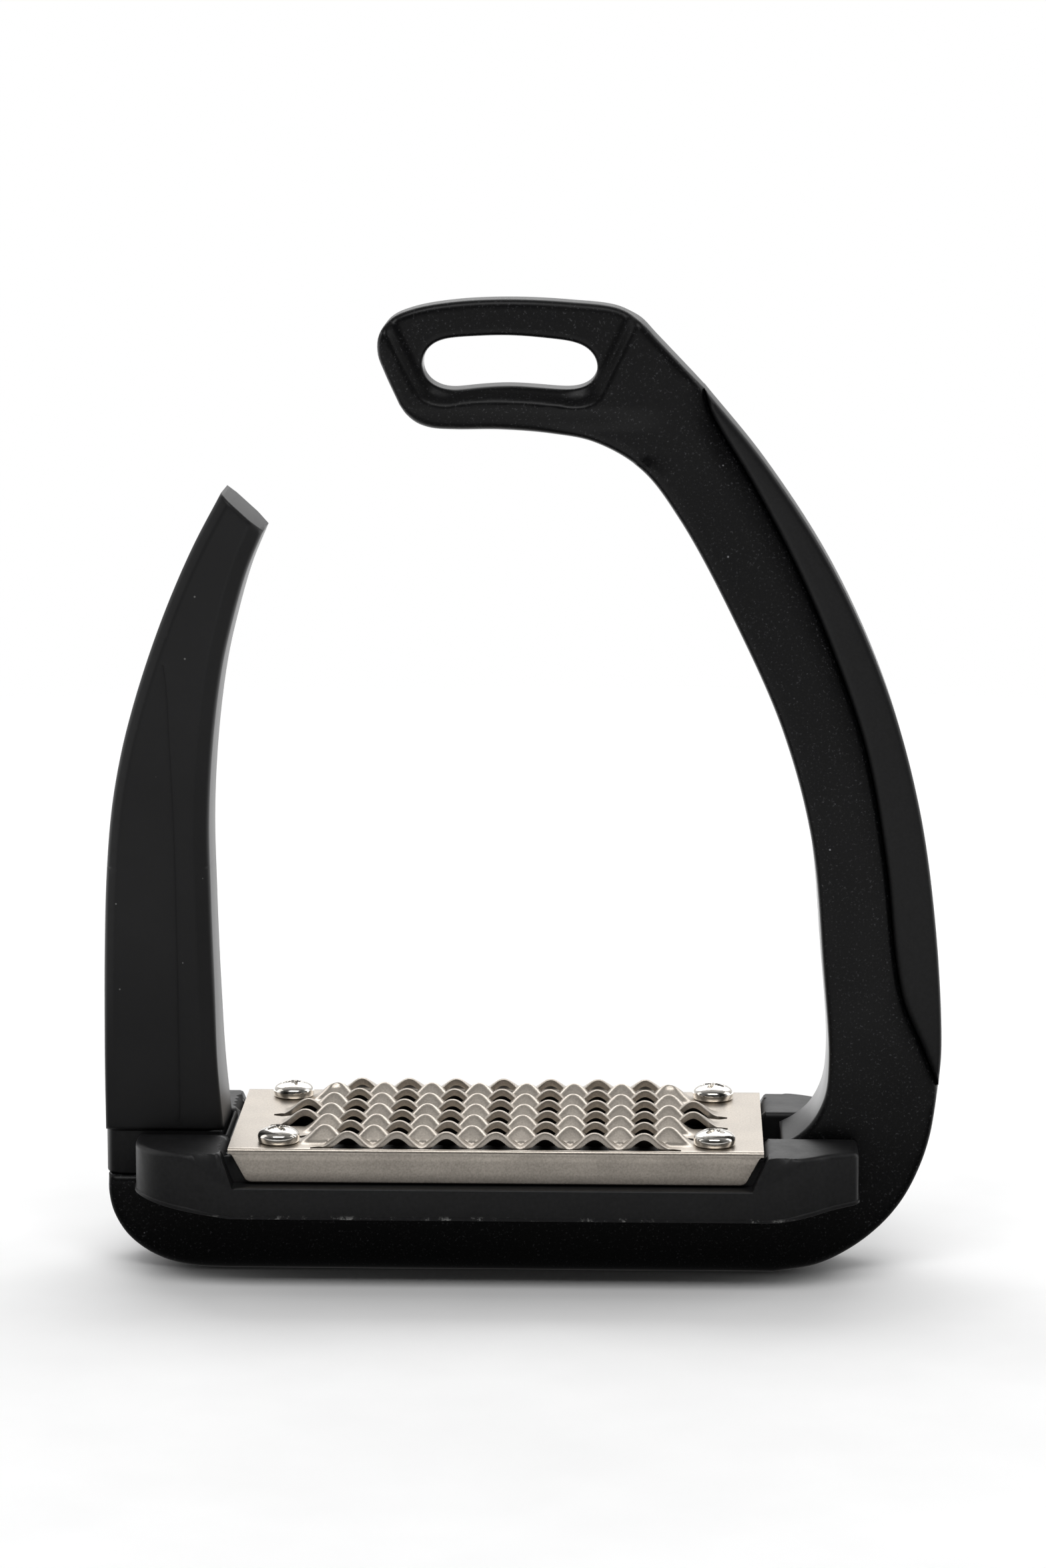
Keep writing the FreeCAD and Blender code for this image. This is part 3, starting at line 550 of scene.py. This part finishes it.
PLATE_TOP = 28.3
SHEET = 1.0
TOOTH_PITCH, TOOTH_TALL, TOOTH_RUN, TOOTH_LEAN = 9.6, 3.4, 5.0, 1.3
TOOTH_BRIM = 0.42                # how far a tooth's cut edge is rolled over
SLITS = [-24.0 + 8.9 * k for k in range(6)]
SLIT_REACH = [36.0, 39.0, 45.2, 45.2, 38.5, 35.8]      # half length of each slit
SLIT_HALF = 0.42                 # half width of a slit
PLATE_MID = (PLATE_LEFT + PLATE_RIGHT) / 2


def tooth_row(x, offset, reach):
    """One row of rounded lobes, 1 at a tooth's tip and 0 in the valleys."""
    s = (x - PLATE_MID - offset) / TOOTH_PITCH
    near = np.round(s)
    away = np.abs(s - near) * 2
    wave = 0.5 + 0.5 * np.cos(math.pi * away)
    gable = np.clip(1.06 - np.sqrt(away ** 2 + 0.02), 0, 1)
    return np.where(np.abs(near * TOOTH_PITCH + offset) < reach, 0.5 * wave + 0.5 * gable, 0.0)


def plate_mesh():
    """The flat sheet with its slits and teeth, as a grid whose rows gather beside each slit."""
    xs = np.arange(PLATE_LEFT, PLATE_RIGHT + 0.01, 0.4)
    rows = []
    gap = SLIT_HALF
    for k, y in enumerate(SLITS):
        rows += [(y - gap, k, -1), (y + gap, k, 1)]
        run = np.array([0.08, 0.2, 0.42, 0.9, 1.5, 2.1, 2.8, 3.5, 4.1])
        rows += [(y + gap + r, k, 1) for r in run if k < 5 or r < 3]
        if k:
            rows += [(y - gap - r, k, -1) for r in run[:8]]
    rows += [(-PLATE_HALF + 0.35, 0, 0), (-PLATE_HALF + 0.1, 0, 0), (-PLATE_HALF, 0, 0)]
    rows += [(PLATE_HALF - 0.35, 5, 0), (PLATE_HALF - 0.1, 5, 0), (PLATE_HALF, 5, 0)]
    rows.sort()
    ys = np.array([r[0] for r in rows])
    lift = np.zeros((len(ys), len(xs)))
    lean = np.zeros_like(lift)
    spread = np.zeros_like(lift)
    for k, y in enumerate(SLITS):
        reach = 41.0 if k in (2, 3) else 31.0
        end = np.abs(xs - PLATE_MID) - (SLIT_REACH[k] - 1.7)
        leaf = 0.85 * np.exp(-(end / 1.3) ** 2)
        close = np.clip(1 - (np.abs(ys - y) - gap) / 1.6, 0, 1) * np.sign(ys - y) * (np.abs(ys - y) < 2.0)
        spread += (close * (ys > y) if k == 0 else close)[:, None] * leaf[None, :]
        for way in (1, -1):
            if way < 0 and k == 0:
                continue
            lobes = tooth_row(xs, 0 if way > 0 else TOOTH_PITCH / 2, reach if way > 0 else 34.0)
            v = (ys - y) * way
            slope = 1 - np.clip(v - gap, 0, None)[:, None] / TOOTH_RUN
            grown = 0.5 * (lobes[None, :] + slope - np.sqrt((lobes[None, :] - slope) ** 2 + 0.01))
            grown = np.clip(grown, 0, None) * (lobes > 0)
            grown[v < 0] = 0
            brim = rolled(v - gap, TOOTH_BRIM)[:, None] * (lobes > 0) * ((v > 0) & (v < 1))[:, None]
            crest = TOOTH_TALL * grown - brim * np.clip(TOOTH_TALL * grown, 0, TOOTH_BRIM) / TOOTH_BRIM
            lift = np.maximum(lift, crest)
            lean = np.where((crest >= lift - 1e-9) & (grown > 0), way * TOOTH_LEAN * grown, lean)
    grid_x = np.tile(xs, (len(ys), 1))
    grid_y = np.tile(ys[:, None], (1, len(xs))) + lean + spread
    edge_gap = np.minimum(PLATE_HALF - np.abs(ys), 0.6)[:, None]
    top = PLATE_TOP + lift - rolled(edge_gap, 0.6)
    low = PLATE_TOP - SHEET + lift * 0.96
    verts, faces = [], []
    nx, ny = len(xs), len(ys)
    for height in (top, low):
        verts.append(np.stack([grid_x, grid_y, height], 2).reshape(-1, 3))
    n = nx * ny
    cut = np.zeros((ny - 1, nx - 1), bool)
    for k, y in enumerate(SLITS):
        j = int(np.where(np.isclose(ys, y - gap))[0][0])
        mid = (xs[:-1] + xs[1:]) / 2
        cut[j] = np.abs(mid - PLATE_MID) < SLIT_REACH[k]
    for j in range(ny - 1):
        for i in range(nx - 1):
            if cut[j, i]:
                continue
            a = j * nx + i
            faces.append((a, a + 1, a + nx + 1, a + nx))
            faces.append((n + a, n + a + nx, n + a + nx + 1, n + a + 1))
    edges = {}
    for f in faces[::2]:
        for e in zip(f, f[1:] + f[:1]):
            edges[e] = True
    for a, b in edges:
        if (b, a) not in edges:
            faces.append((a, n + a, n + b, b))
    return np.vstack(verts), faces


plate = as_object("plate_sheet", *plate_mesh(), 50)
plate.data.materials.append(plate_steel)

# The folded flanges: a rounded trapezoid that hangs from each long side.
FLANGE_BOTTOM, FLANGE_SLANT = 21.6, 3.6
FLANGE_LEFT, FLANGE_RIGHT = PLATE_LEFT + FLANGE_SLANT, PLATE_RIGHT - FLANGE_SLANT
FOLD = 1.0                       # outer radius of the fold
flange_edge = closed(
    [(PLATE_LEFT, PLATE_TOP - 0.1), (FLANGE_LEFT - 0.6, FLANGE_BOTTOM + 1.0)],
    [(FLANGE_LEFT - 0.6, FLANGE_BOTTOM + 1.0), (FLANGE_LEFT, FLANGE_BOTTOM + 0.25),
     (FLANGE_LEFT + 1.0, FLANGE_BOTTOM)],
    [(FLANGE_LEFT + 1.0, FLANGE_BOTTOM), (FLANGE_RIGHT - 1.0, FLANGE_BOTTOM)],
    [(FLANGE_RIGHT - 1.0, FLANGE_BOTTOM), (FLANGE_RIGHT, FLANGE_BOTTOM + 0.25),
     (FLANGE_RIGHT + 0.6, FLANGE_BOTTOM + 1.0)],
    [(FLANGE_RIGHT + 0.6, FLANGE_BOTTOM + 1.0), (PLATE_RIGHT, PLATE_TOP - 0.1)],
    [(PLATE_RIGHT, PLATE_TOP - 0.1), (PLATE_LEFT, PLATE_TOP - 0.1)])


def flange_face(u, v, d):
    """Outer face of a flange: rounded at the fold, with its other edges just broken."""
    fold = rolled(np.clip(PLATE_TOP - v, 0, 1), FOLD)
    return PLATE_HALF - fold - rolled(d, 0.25) * (v < PLATE_TOP - FOLD)


for side, turn in (("front", 1), ("rear", -1)):
    lap = relief("plate_flange_" + side, flange_edge, flange_face,
                 lambda u, v, d: 0 * u + PLATE_HALF - SHEET,
                 lambda u, v, h, k=turn: np.stack([u, -h * k, v], 1), roll=0.25, grain=2.5,
                 creases=[through([(PLATE_LEFT + 2, PLATE_TOP - q), (PLATE_RIGHT - 2, PLATE_TOP - q)], 3)
                          for q in (0.5, 1.0)])
    if turn < 0:
        lap.data.flip_normals()
    lap.data.materials.append(plate_steel)
    lap.parent = plate
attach(plate, "stirrup")
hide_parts("tread_plate")

# ---- the plate screws ---------------------------------------------------------------------
# Four M4 pan-head screws with a cross recess, one near each corner of the plate and each stopped at
# its own turn. They are bright nickel plated.

# Bright nickel: small sharp highlights with dark between them, only slightly clouded.
nickel, t = material("bright_nickel_plate")
where = add(t, "TexCoord")
fine_noise = add(t, "TexNoise", {"Vector": (where, "Object")}, Scale=1 / (0.9 * MM), Detail=3.0)
metal = ramp_set(add(t, "ValToRGB", {"Fac": (fine_noise, "Fac")}), (0.3, "#cfcac2"), (0.7, "#e2ded8"))
rough = add(t, "MapRange", {"Value": (fine_noise, "Fac")},
            From_Min=0.3, From_Max=0.7, To_Min=0.10, To_Max=0.18)
bump = add(t, "Bump", {"Height": (fine_noise, "Fac")}, Strength=0.02, Distance=0.05 * MM)
skin = add(t, "BsdfPrincipled", {"Base Color": (metal, "Color"), "Roughness": (rough, "Result"),
                                 "Normal": (bump, "Normal")}, Metallic=1.0)
add(t, "OutputMaterial", {"Surface": (skin, "BSDF")})

HEAD_R, HEAD_TALL, HEAD_RIM = 4.1, 3.05, 1.15
CROSS_REACH, CROSS_DEEP = 2.35, 1.5
screw_low, screw_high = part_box("tread_screws")
SCREW_X = (screw_low.x / MM + HEAD_R, screw_high.x / MM - HEAD_R)
SCREW_Y = (screw_low.y / MM + HEAD_R, screw_high.y / MM - HEAD_R)


def pan_head(name, x, y, turn):
    """Pan head on its polar grid: a low dome, a rounded shoulder and a cross recess pressed in."""
    radii = np.concatenate([np.linspace(0.05, 2.9, 26), np.linspace(3.0, HEAD_R, 12)])
    around = np.linspace(0, 2 * math.pi, 96, endpoint=False)
    verts, faces = [(x, y, 0.0)], []
    for r in radii:
        for a in around:
            px, py = r * math.cos(a - turn), r * math.sin(a - turn)
            round_off = math.sqrt(max(0.0, 1 - (r / (HEAD_R + 0.01)) ** 2)) ** 0.9
            dome = HEAD_RIM + (HEAD_TALL - HEAD_RIM) * round_off
            arm = min(max(abs(px), abs(py)) / CROSS_REACH, 1.0)
            narrow = 0.62 - 0.28 * arm
            across = min(abs(px), abs(py))
            deep = CROSS_DEEP * (1 - arm) ** 0.6 * min(1.0, max(0.0, (narrow + 0.12 - across) / 0.14))
            verts.append((x + r * math.cos(a), y + r * math.sin(a), PLATE_TOP + dome - deep))
    verts[0] = (x, y, PLATE_TOP + HEAD_TALL - CROSS_DEEP)
    n = len(around)
    for i in range(n):
        faces.append((0, 1 + i, 1 + (i + 1) % n))
    for k in range(len(radii) - 1):
        for i in range(n):
            a, b = 1 + k * n + i, 1 + k * n + (i + 1) % n
            faces.append((a, a + n, b + n, b))
    for lower, inset in ((HEAD_RIM, 0.0), (0.35, 0.05), (0.05, 0.3), (0.0, 1.2)):
        start, r = len(verts), HEAD_R - inset
        for a in around:
            verts.append((x + r * math.cos(a), y + r * math.sin(a), PLATE_TOP + lower))
        for i in range(n):
            a, b = start - n + i, start - n + (i + 1) % n
            faces.append((a, a + n, b + n, b))
    ob = as_object(name, verts, faces, 55)
    ob.data.materials.append(nickel)
    return ob


HEAD_TURNS = (0.5, 0.9, 0.2, 1.2)
places = [(x, y) for y in SCREW_Y for x in SCREW_X]
heads = [pan_head("pan_head_%d" % (k + 1), x, y, HEAD_TURNS[k]) for k, (x, y) in enumerate(places)]
for head in heads:
    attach(head, "stirrup")
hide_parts("tread_screws")

# ---- the arm's collar ---------------------------------------------------------------------
# A short block of the same moulded plastic as the trim, between the beam and the arm's foot. The
# arm's core passes down through it.
collar_low, collar_high = [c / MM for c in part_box("arm_collar")]
collar_edge = closed(
    [(-59.0, -9.4), (-59.0, 9.4)],
    [(-59.0, 9.4), (-78.6, 9.4)],
    [(-78.6, 9.4), (-80.9, 8.6), (-82.0, 6.6), (-82.1, 0.0), (-82.0, -6.6), (-80.9, -8.6), (-78.6, -9.4)],
    [(-78.6, -9.4), (-59.0, -9.4)], step=0.6)
collar = relief("collar_block", collar_edge, lambda u, v, d: collar_high.z + 0.15 - rolled(d, 0.35),
                lambda u, v, d: collar_low.z + 0.05 + rolled(d, 0.35), flat, roll=0.35, grain=2.5)
collar.data.materials.append(trim_plastic)
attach(collar, "stirrup")
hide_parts("arm_collar")

# ---- the release arm ----------------------------------------------------------------------
# One elastomer moulding over a spring strip. It has broad flats front and back with bevels down
# both sides, a slanted tip, and a fine mould seam down its front.

# Moulded black elastomer: a soft even black, dusted with tiny pale specks of lint.
rubber, t = material("moulded_black_elastomer")
where = add(t, "TexCoord")
grit = add(t, "TexNoise", {"Vector": (where, "Object")}, Scale=1 / (0.7 * MM), Detail=4.0)
broad = add(t, "TexNoise", {"Vector": (where, "Object")}, Scale=1 / (18 * MM), Detail=3.0)
lint = add(t, "TexVoronoi", {"Vector": (where, "Object")}, Scale=1 / (5.0 * MM), Randomness=1.0)
spot = ramp_set(add(t, "ValToRGB", {"Fac": (lint, "Distance")}), (0.030, "#bbbbbb"), (0.042, "#000000"))
body = ramp_set(add(t, "ValToRGB", {"Fac": (broad, "Fac")}), (0.3, "#101011"), (0.7, "#161617"))
tint = add(t, "MixRGB", {"Fac": (spot, "Color"), "Color1": (body, "Color")}, Color2=tone("#8c8c8a"))
bump = add(t, "Bump", {"Height": (grit, "Fac")}, Strength=0.10, Distance=0.06 * MM)
skin = add(t, "BsdfPrincipled", {"Base Color": (tint, "Color"), "Normal": (bump, "Normal")},
           Roughness=0.48, IOR=1.5, Specular_IOR_Level=0.25)
add(t, "OutputMaterial", {"Surface": (skin, "BSDF")})

ARM_BOTTOM = 27.9
ARM_OUTER = [(-82.1, ARM_BOTTOM), (-82.2, 45.7), (-82.05, 62.0), (-81.4, 79.0), (-80.2, 92.0), (-78.2, 103.0),
             (-75.6, 112.8), (-72.2, 123.2), (-68.2, 133.6), (-63.5, 144.0), (-58.1, 154.1)]
ARM_INNER = [(-50.0, 146.7), (-53.2, 139.0), (-56.0, 129.5), (-58.2, 120.0), (-60.1, 106.0),
             (-61.1, 90.0), (-60.9, 74.0), (-60.3, 54.0), (-59.8, 40.7), (-58.7, ARM_BOTTOM)]
ARM_HALF, ARM_ROLL = 9.15, 0.8
OUTER_BEVEL, INNER_BEVEL = 2.3, 3.0                    # width of the bevel down each side
outer_line, inner_line = through(ARM_OUTER), through(ARM_INNER)
seam = through([(-69.5, 120.5), (-69.0, 116.0), (-68.6, 106.0), (-68.0, 92.0), (-67.7, 78.0),
                (-67.5, 60.0), (-67.3, 30.0)])
arm_foot, arm_tip = [ARM_OUTER[0], ARM_INNER[-1]], [ARM_INNER[0], ARM_OUTER[-1]]
arm_edge = closed(ARM_OUTER[::-1], arm_foot, ARM_INNER[::-1], arm_tip)


def ridge(line, gap):
    """A line beside the given one, cut short of the arm's two ends."""
    way = np.gradient(line, axis=0)
    way /= np.linalg.norm(way, axis=1)[:, None]
    row = line + np.stack([way[:, 1], -way[:, 0]], 1) * gap
    ends = [np.array(arm_foot), np.array(arm_tip)]
    return row[inside(row, arm_edge) & (off_line(row, ends) > 1.0)]


def arm_face(u, v, d):
    """Front of the arm: flat, bevelled down both sides, thicker at the foot, with the seam's groove."""
    pts = np.stack([u, v], 1)
    left, right = off_line(pts, [outer_line]), off_line(pts, [inner_line])
    thick = ARM_HALF + 0.7 * ease(62, 28, v)
    facet_l = 1.6 - 0.7 * ease(60, 34, v)
    facet_r = 2.2 - 1.4 * ease(62, 40, v)
    bevel = facet_l * np.clip(1 - left / OUTER_BEVEL, 0, 1) + facet_r * np.clip(1 - right / INNER_BEVEL, 0, 1)
    line = 0.22 * np.exp(-(off_line(pts, [seam]) / 0.25) ** 2)
    return thick - bevel - rolled(d, ARM_ROLL) - line


low_joint, high_joint = [Vector(j["pos_m"]) / MM for j in frame["joints"]]
split = (low_joint.z + high_joint.z) / 2
arm_lines = [seam + (o, 0) for o in (-0.3, 0.0, 0.3)]
arm_lines += [ridge(line, bevel + o) for line, bevel in ((outer_line, OUTER_BEVEL), (inner_line, INNER_BEVEL))
              for o in (-0.45, 0.0, 0.45)]
arm_lines += [through([(-81.2, split), (-61.2, split)], 1.2)]
whole = relief("elastomer_arm", arm_edge, arm_face, lambda u, v, d: -arm_face(u, v, d), upright,
               roll=ARM_ROLL, grain=1.5, creases=arm_lines)
whole.data.materials.append(rubber)


def arm_part(name, keep):
    """The faces of the whole arm whose centre is on one side of the split height."""
    src = whole.data
    faces = [tuple(p.vertices) for p in src.polygons if keep(p.center.z / MM)]
    used = sorted({i for f in faces for i in f})
    at = {i: k for k, i in enumerate(used)}
    mesh = bpy.data.meshes.new(name)
    mesh.from_pydata([tuple(src.vertices[i].co) for i in used], [], [tuple(at[i] for i in f) for f in faces])
    mesh.polygons.foreach_set("use_smooth", [True] * len(mesh.polygons))
    mesh.set_sharp_from_angle(angle=math.radians(45))
    ob = bpy.data.objects.new(name, mesh)
    bpy.context.scene.collection.objects.link(ob)
    ob.data.materials.append(rubber)
    return ob


arm_below = arm_part("arm_below", lambda z: z < split)
arm_above = arm_part("arm_above", lambda z: z >= split)
bpy.data.objects.remove(whole)
for ob, a, b, joint in ((arm_below, "stirrup", "arm_middle", low_joint),
                        (arm_above, "arm_middle", "arm_tip", high_joint)):
    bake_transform(ob)
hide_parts("arm_root", "arm_lower")
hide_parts("arm_upper")

# ---- the hidden hardware ------------------------------------------------------------------
# Pegs, inserts, washers, screws, bushes, plugs, the gasket, the arm's core and the spring strip keep
# their designed shapes. They lie inside the part or underneath it.

# Zinc-plated steel: a cool plain grey with a soft shine.
plain_steel, t = material("plain_zinc_plated_steel")
where = add(t, "TexCoord")
noise = add(t, "TexNoise", {"Vector": (where, "Object")}, Scale=1 / (1.2 * MM), Detail=3.0)
metal = ramp_set(add(t, "ValToRGB", {"Fac": (noise, "Fac")}), (0.3, "#8f9092"), (0.7, "#a9abad"))
skin = add(t, "BsdfPrincipled", {"Base Color": (metal, "Color")}, Metallic=1.0, Roughness=0.32)
add(t, "OutputMaterial", {"Surface": (skin, "BSDF")})

# Turned brass: a warm yellow with a soft shine.
brass, t = material("turned_brass")
where = add(t, "TexCoord")
noise = add(t, "TexNoise", {"Vector": (where, "Object")}, Scale=1 / (0.8 * MM), Detail=3.0)
metal = ramp_set(add(t, "ValToRGB", {"Fac": (noise, "Fac")}), (0.3, "#b08d4f"), (0.7, "#c7a362"))
skin = add(t, "BsdfPrincipled", {"Base Color": (metal, "Color")}, Metallic=1.0, Roughness=0.3)
add(t, "OutputMaterial", {"Surface": (skin, "BSDF")})

# Black sheet rubber: dull and nearly without highlights.
soft_black, t = material("black_rubber_sheet")
where = add(t, "TexCoord")
noise = add(t, "TexNoise", {"Vector": (where, "Object")}, Scale=1 / (1.0 * MM), Detail=3.0)
body = ramp_set(add(t, "ValToRGB", {"Fac": (noise, "Fac")}), (0.3, "#0c0c0c"), (0.7, "#161616"))
skin = add(t, "BsdfPrincipled", {"Base Color": (body, "Color")}, Roughness=0.7, IOR=1.5)
add(t, "OutputMaterial", {"Surface": (skin, "BSDF")})

for node, finish in (("trim_pegs", plain_steel), ("tread_inserts", plain_steel), ("arm_washers", plain_steel),
                     ("arm_screws", nickel), ("blade_root", plain_steel), ("blade_lower", plain_steel),
                     ("blade_upper", plain_steel), ("arm_bushes", brass), ("arm_core", tray_plastic),
                     ("tread_gasket", soft_black), ("arm_plugs", soft_black)):
    solid = frame["nodes"][node]
    solid.data.materials.clear()
    solid.data.materials.append(finish)

# ---- floor, light and camera --------------------------------------------------------------
# A pale seamless paper floor that runs out to plain white. Reflections see it as if dark cards lay
# close in front of the object, with lit paper beyond them and a bright sweep behind.
paper, t = material("white_paper_floor")
where = add(t, "TexCoord")
noise = add(t, "TexNoise", {"Vector": (where, "Object")}, Scale=40.0, Detail=2.0)
body = ramp_set(add(t, "ValToRGB", {"Fac": (noise, "Fac")}), (0.3, "#f6f6f6"), (0.7, "#f9f9f9"))
skin = add(t, "BsdfPrincipled", {"Base Color": (body, "Color")}, Roughness=0.9)
path = add(t, "LightPath")
axes = add(t, "SeparateXYZ", {"Vector": (where, "Object")})
before = add(t, "MapRange", {"Value": (axes, "Y")},
             From_Min=-0.18, From_Max=-0.08, To_Min=1.2, To_Max=0.05)
behind = add(t, "MapRange", {"Value": (axes, "Y")}, From_Min=-0.02, From_Max=0.12, To_Min=0.0, To_Max=2.2)
depth = add(t, "Math", {0: (before, "Result"), 1: (behind, "Result")}, operation="ADD")
dim = add(t, "Emission", {"Strength": (depth, "Value")})
reach = add(t, "VectorMath", {0: (where, "Object")}, operation="LENGTH")
far = add(t, "MapRange", {"Value": (reach, "Value")}, From_Min=0.35, From_Max=0.75)
glow = add(t, "Emission", Color=(1, 1, 1, 1), Strength=1.0)
sweep = add(t, "MixShader", {0: (far, "Result"), 1: (skin, "BSDF"), 2: (glow, "Emission")})
choice = add(t, "MixShader", {0: (path, "Is Glossy Ray"), 1: (sweep, "Shader"), 2: (dim, "Emission")})
add(t, "OutputMaterial", {"Surface": (choice, "Shader")})
floor_mesh = bpy.data.meshes.new("floor")
floor_mesh.from_pydata([(-6, -6, 0), (6, -6, 0), (6, 6, 0), (-6, 6, 0)], [], [(0, 1, 2, 3)])
floor = bpy.data.objects.new("floor", floor_mesh)
bpy.context.scene.collection.objects.link(floor)
floor.data.materials.append(paper)
floor.location.z = -0.0002

# The room is bright behind and above the object and dimmer in front, as in a studio with the
# camera side left dark; what the camera sees past the floor is plain white.
world = bpy.data.worlds.new("white_room")
world.use_nodes = True
t = world.node_tree
t.nodes.clear()
where = add(t, "TexCoord")
axes = add(t, "SeparateXYZ", {"Vector": (where, "Generated")})
turned = add(t, "MapRange", {"Value": (axes, "Y")}, From_Min=-1.0, From_Max=1.0)
shade = ramp_set(add(t, "ValToRGB", {"Fac": (turned, "Result")}),
                 (0.15, "#4a4a4a"), (0.5, "#989898"), (0.9, "#ffffff"))
path = add(t, "LightPath")
room = add(t, "Background", {"Color": (shade, "Color")}, Strength=0.85)
seen = add(t, "Background", Color=(1, 1, 1, 1), Strength=1.0)
choice = add(t, "MixShader", {0: (path, "Is Camera Ray"), 1: (room, "Background"), 2: (seen, "Background")})
add(t, "OutputWorld", {"Surface": (choice, "Shader")})
bpy.context.scene.world = world


def softbox(name, spot, aim, size, power):
    """A rectangular studio light at a spot, turned towards its aim; metres and watts."""
    lamp = bpy.data.lights.new(name, "AREA")
    lamp.shape = "RECTANGLE"
    lamp.size, lamp.size_y = size
    lamp.energy = power
    ob = bpy.data.objects.new(name, lamp)
    bpy.context.scene.collection.objects.link(ob)
    ob.location = spot
    ob.rotation_euler = (Vector(aim) - Vector(spot)).to_track_quat("-Z", "Y").to_euler()
    return ob


# A wide light high behind, one high in front, and a narrow one at each side.
softbox("back_bank", (0.0, 1.1, 1.0), (0, 0.1, 0.05), (2.0, 0.9), 14)
softbox("front_top", (0.0, -0.8, 1.3), (0, 0, 0.05), (1.2, 0.5), 10)
softbox("left_bank", (-1.0, 0.1, 0.45), (0, 0, 0.08), (0.5, 0.9), 1.6)
softbox("right_bank", (1.0, 0.2, 0.5), (0, 0, 0.08), (0.5, 0.9), 2.6)

eye = bpy.data.cameras.new("camera")
eye.sensor_width = 36
eye.lens = 110.25
camera = bpy.data.objects.new("camera", eye)
bpy.context.scene.collection.objects.link(camera)
camera.location = (0.0288, -0.92863, 0.25874)
camera.rotation_euler = (math.radians(90 - 9.93), 0, math.radians(1.77))
bpy.context.scene.camera = camera
bpy.context.scene.view_settings.view_transform = "Standard"
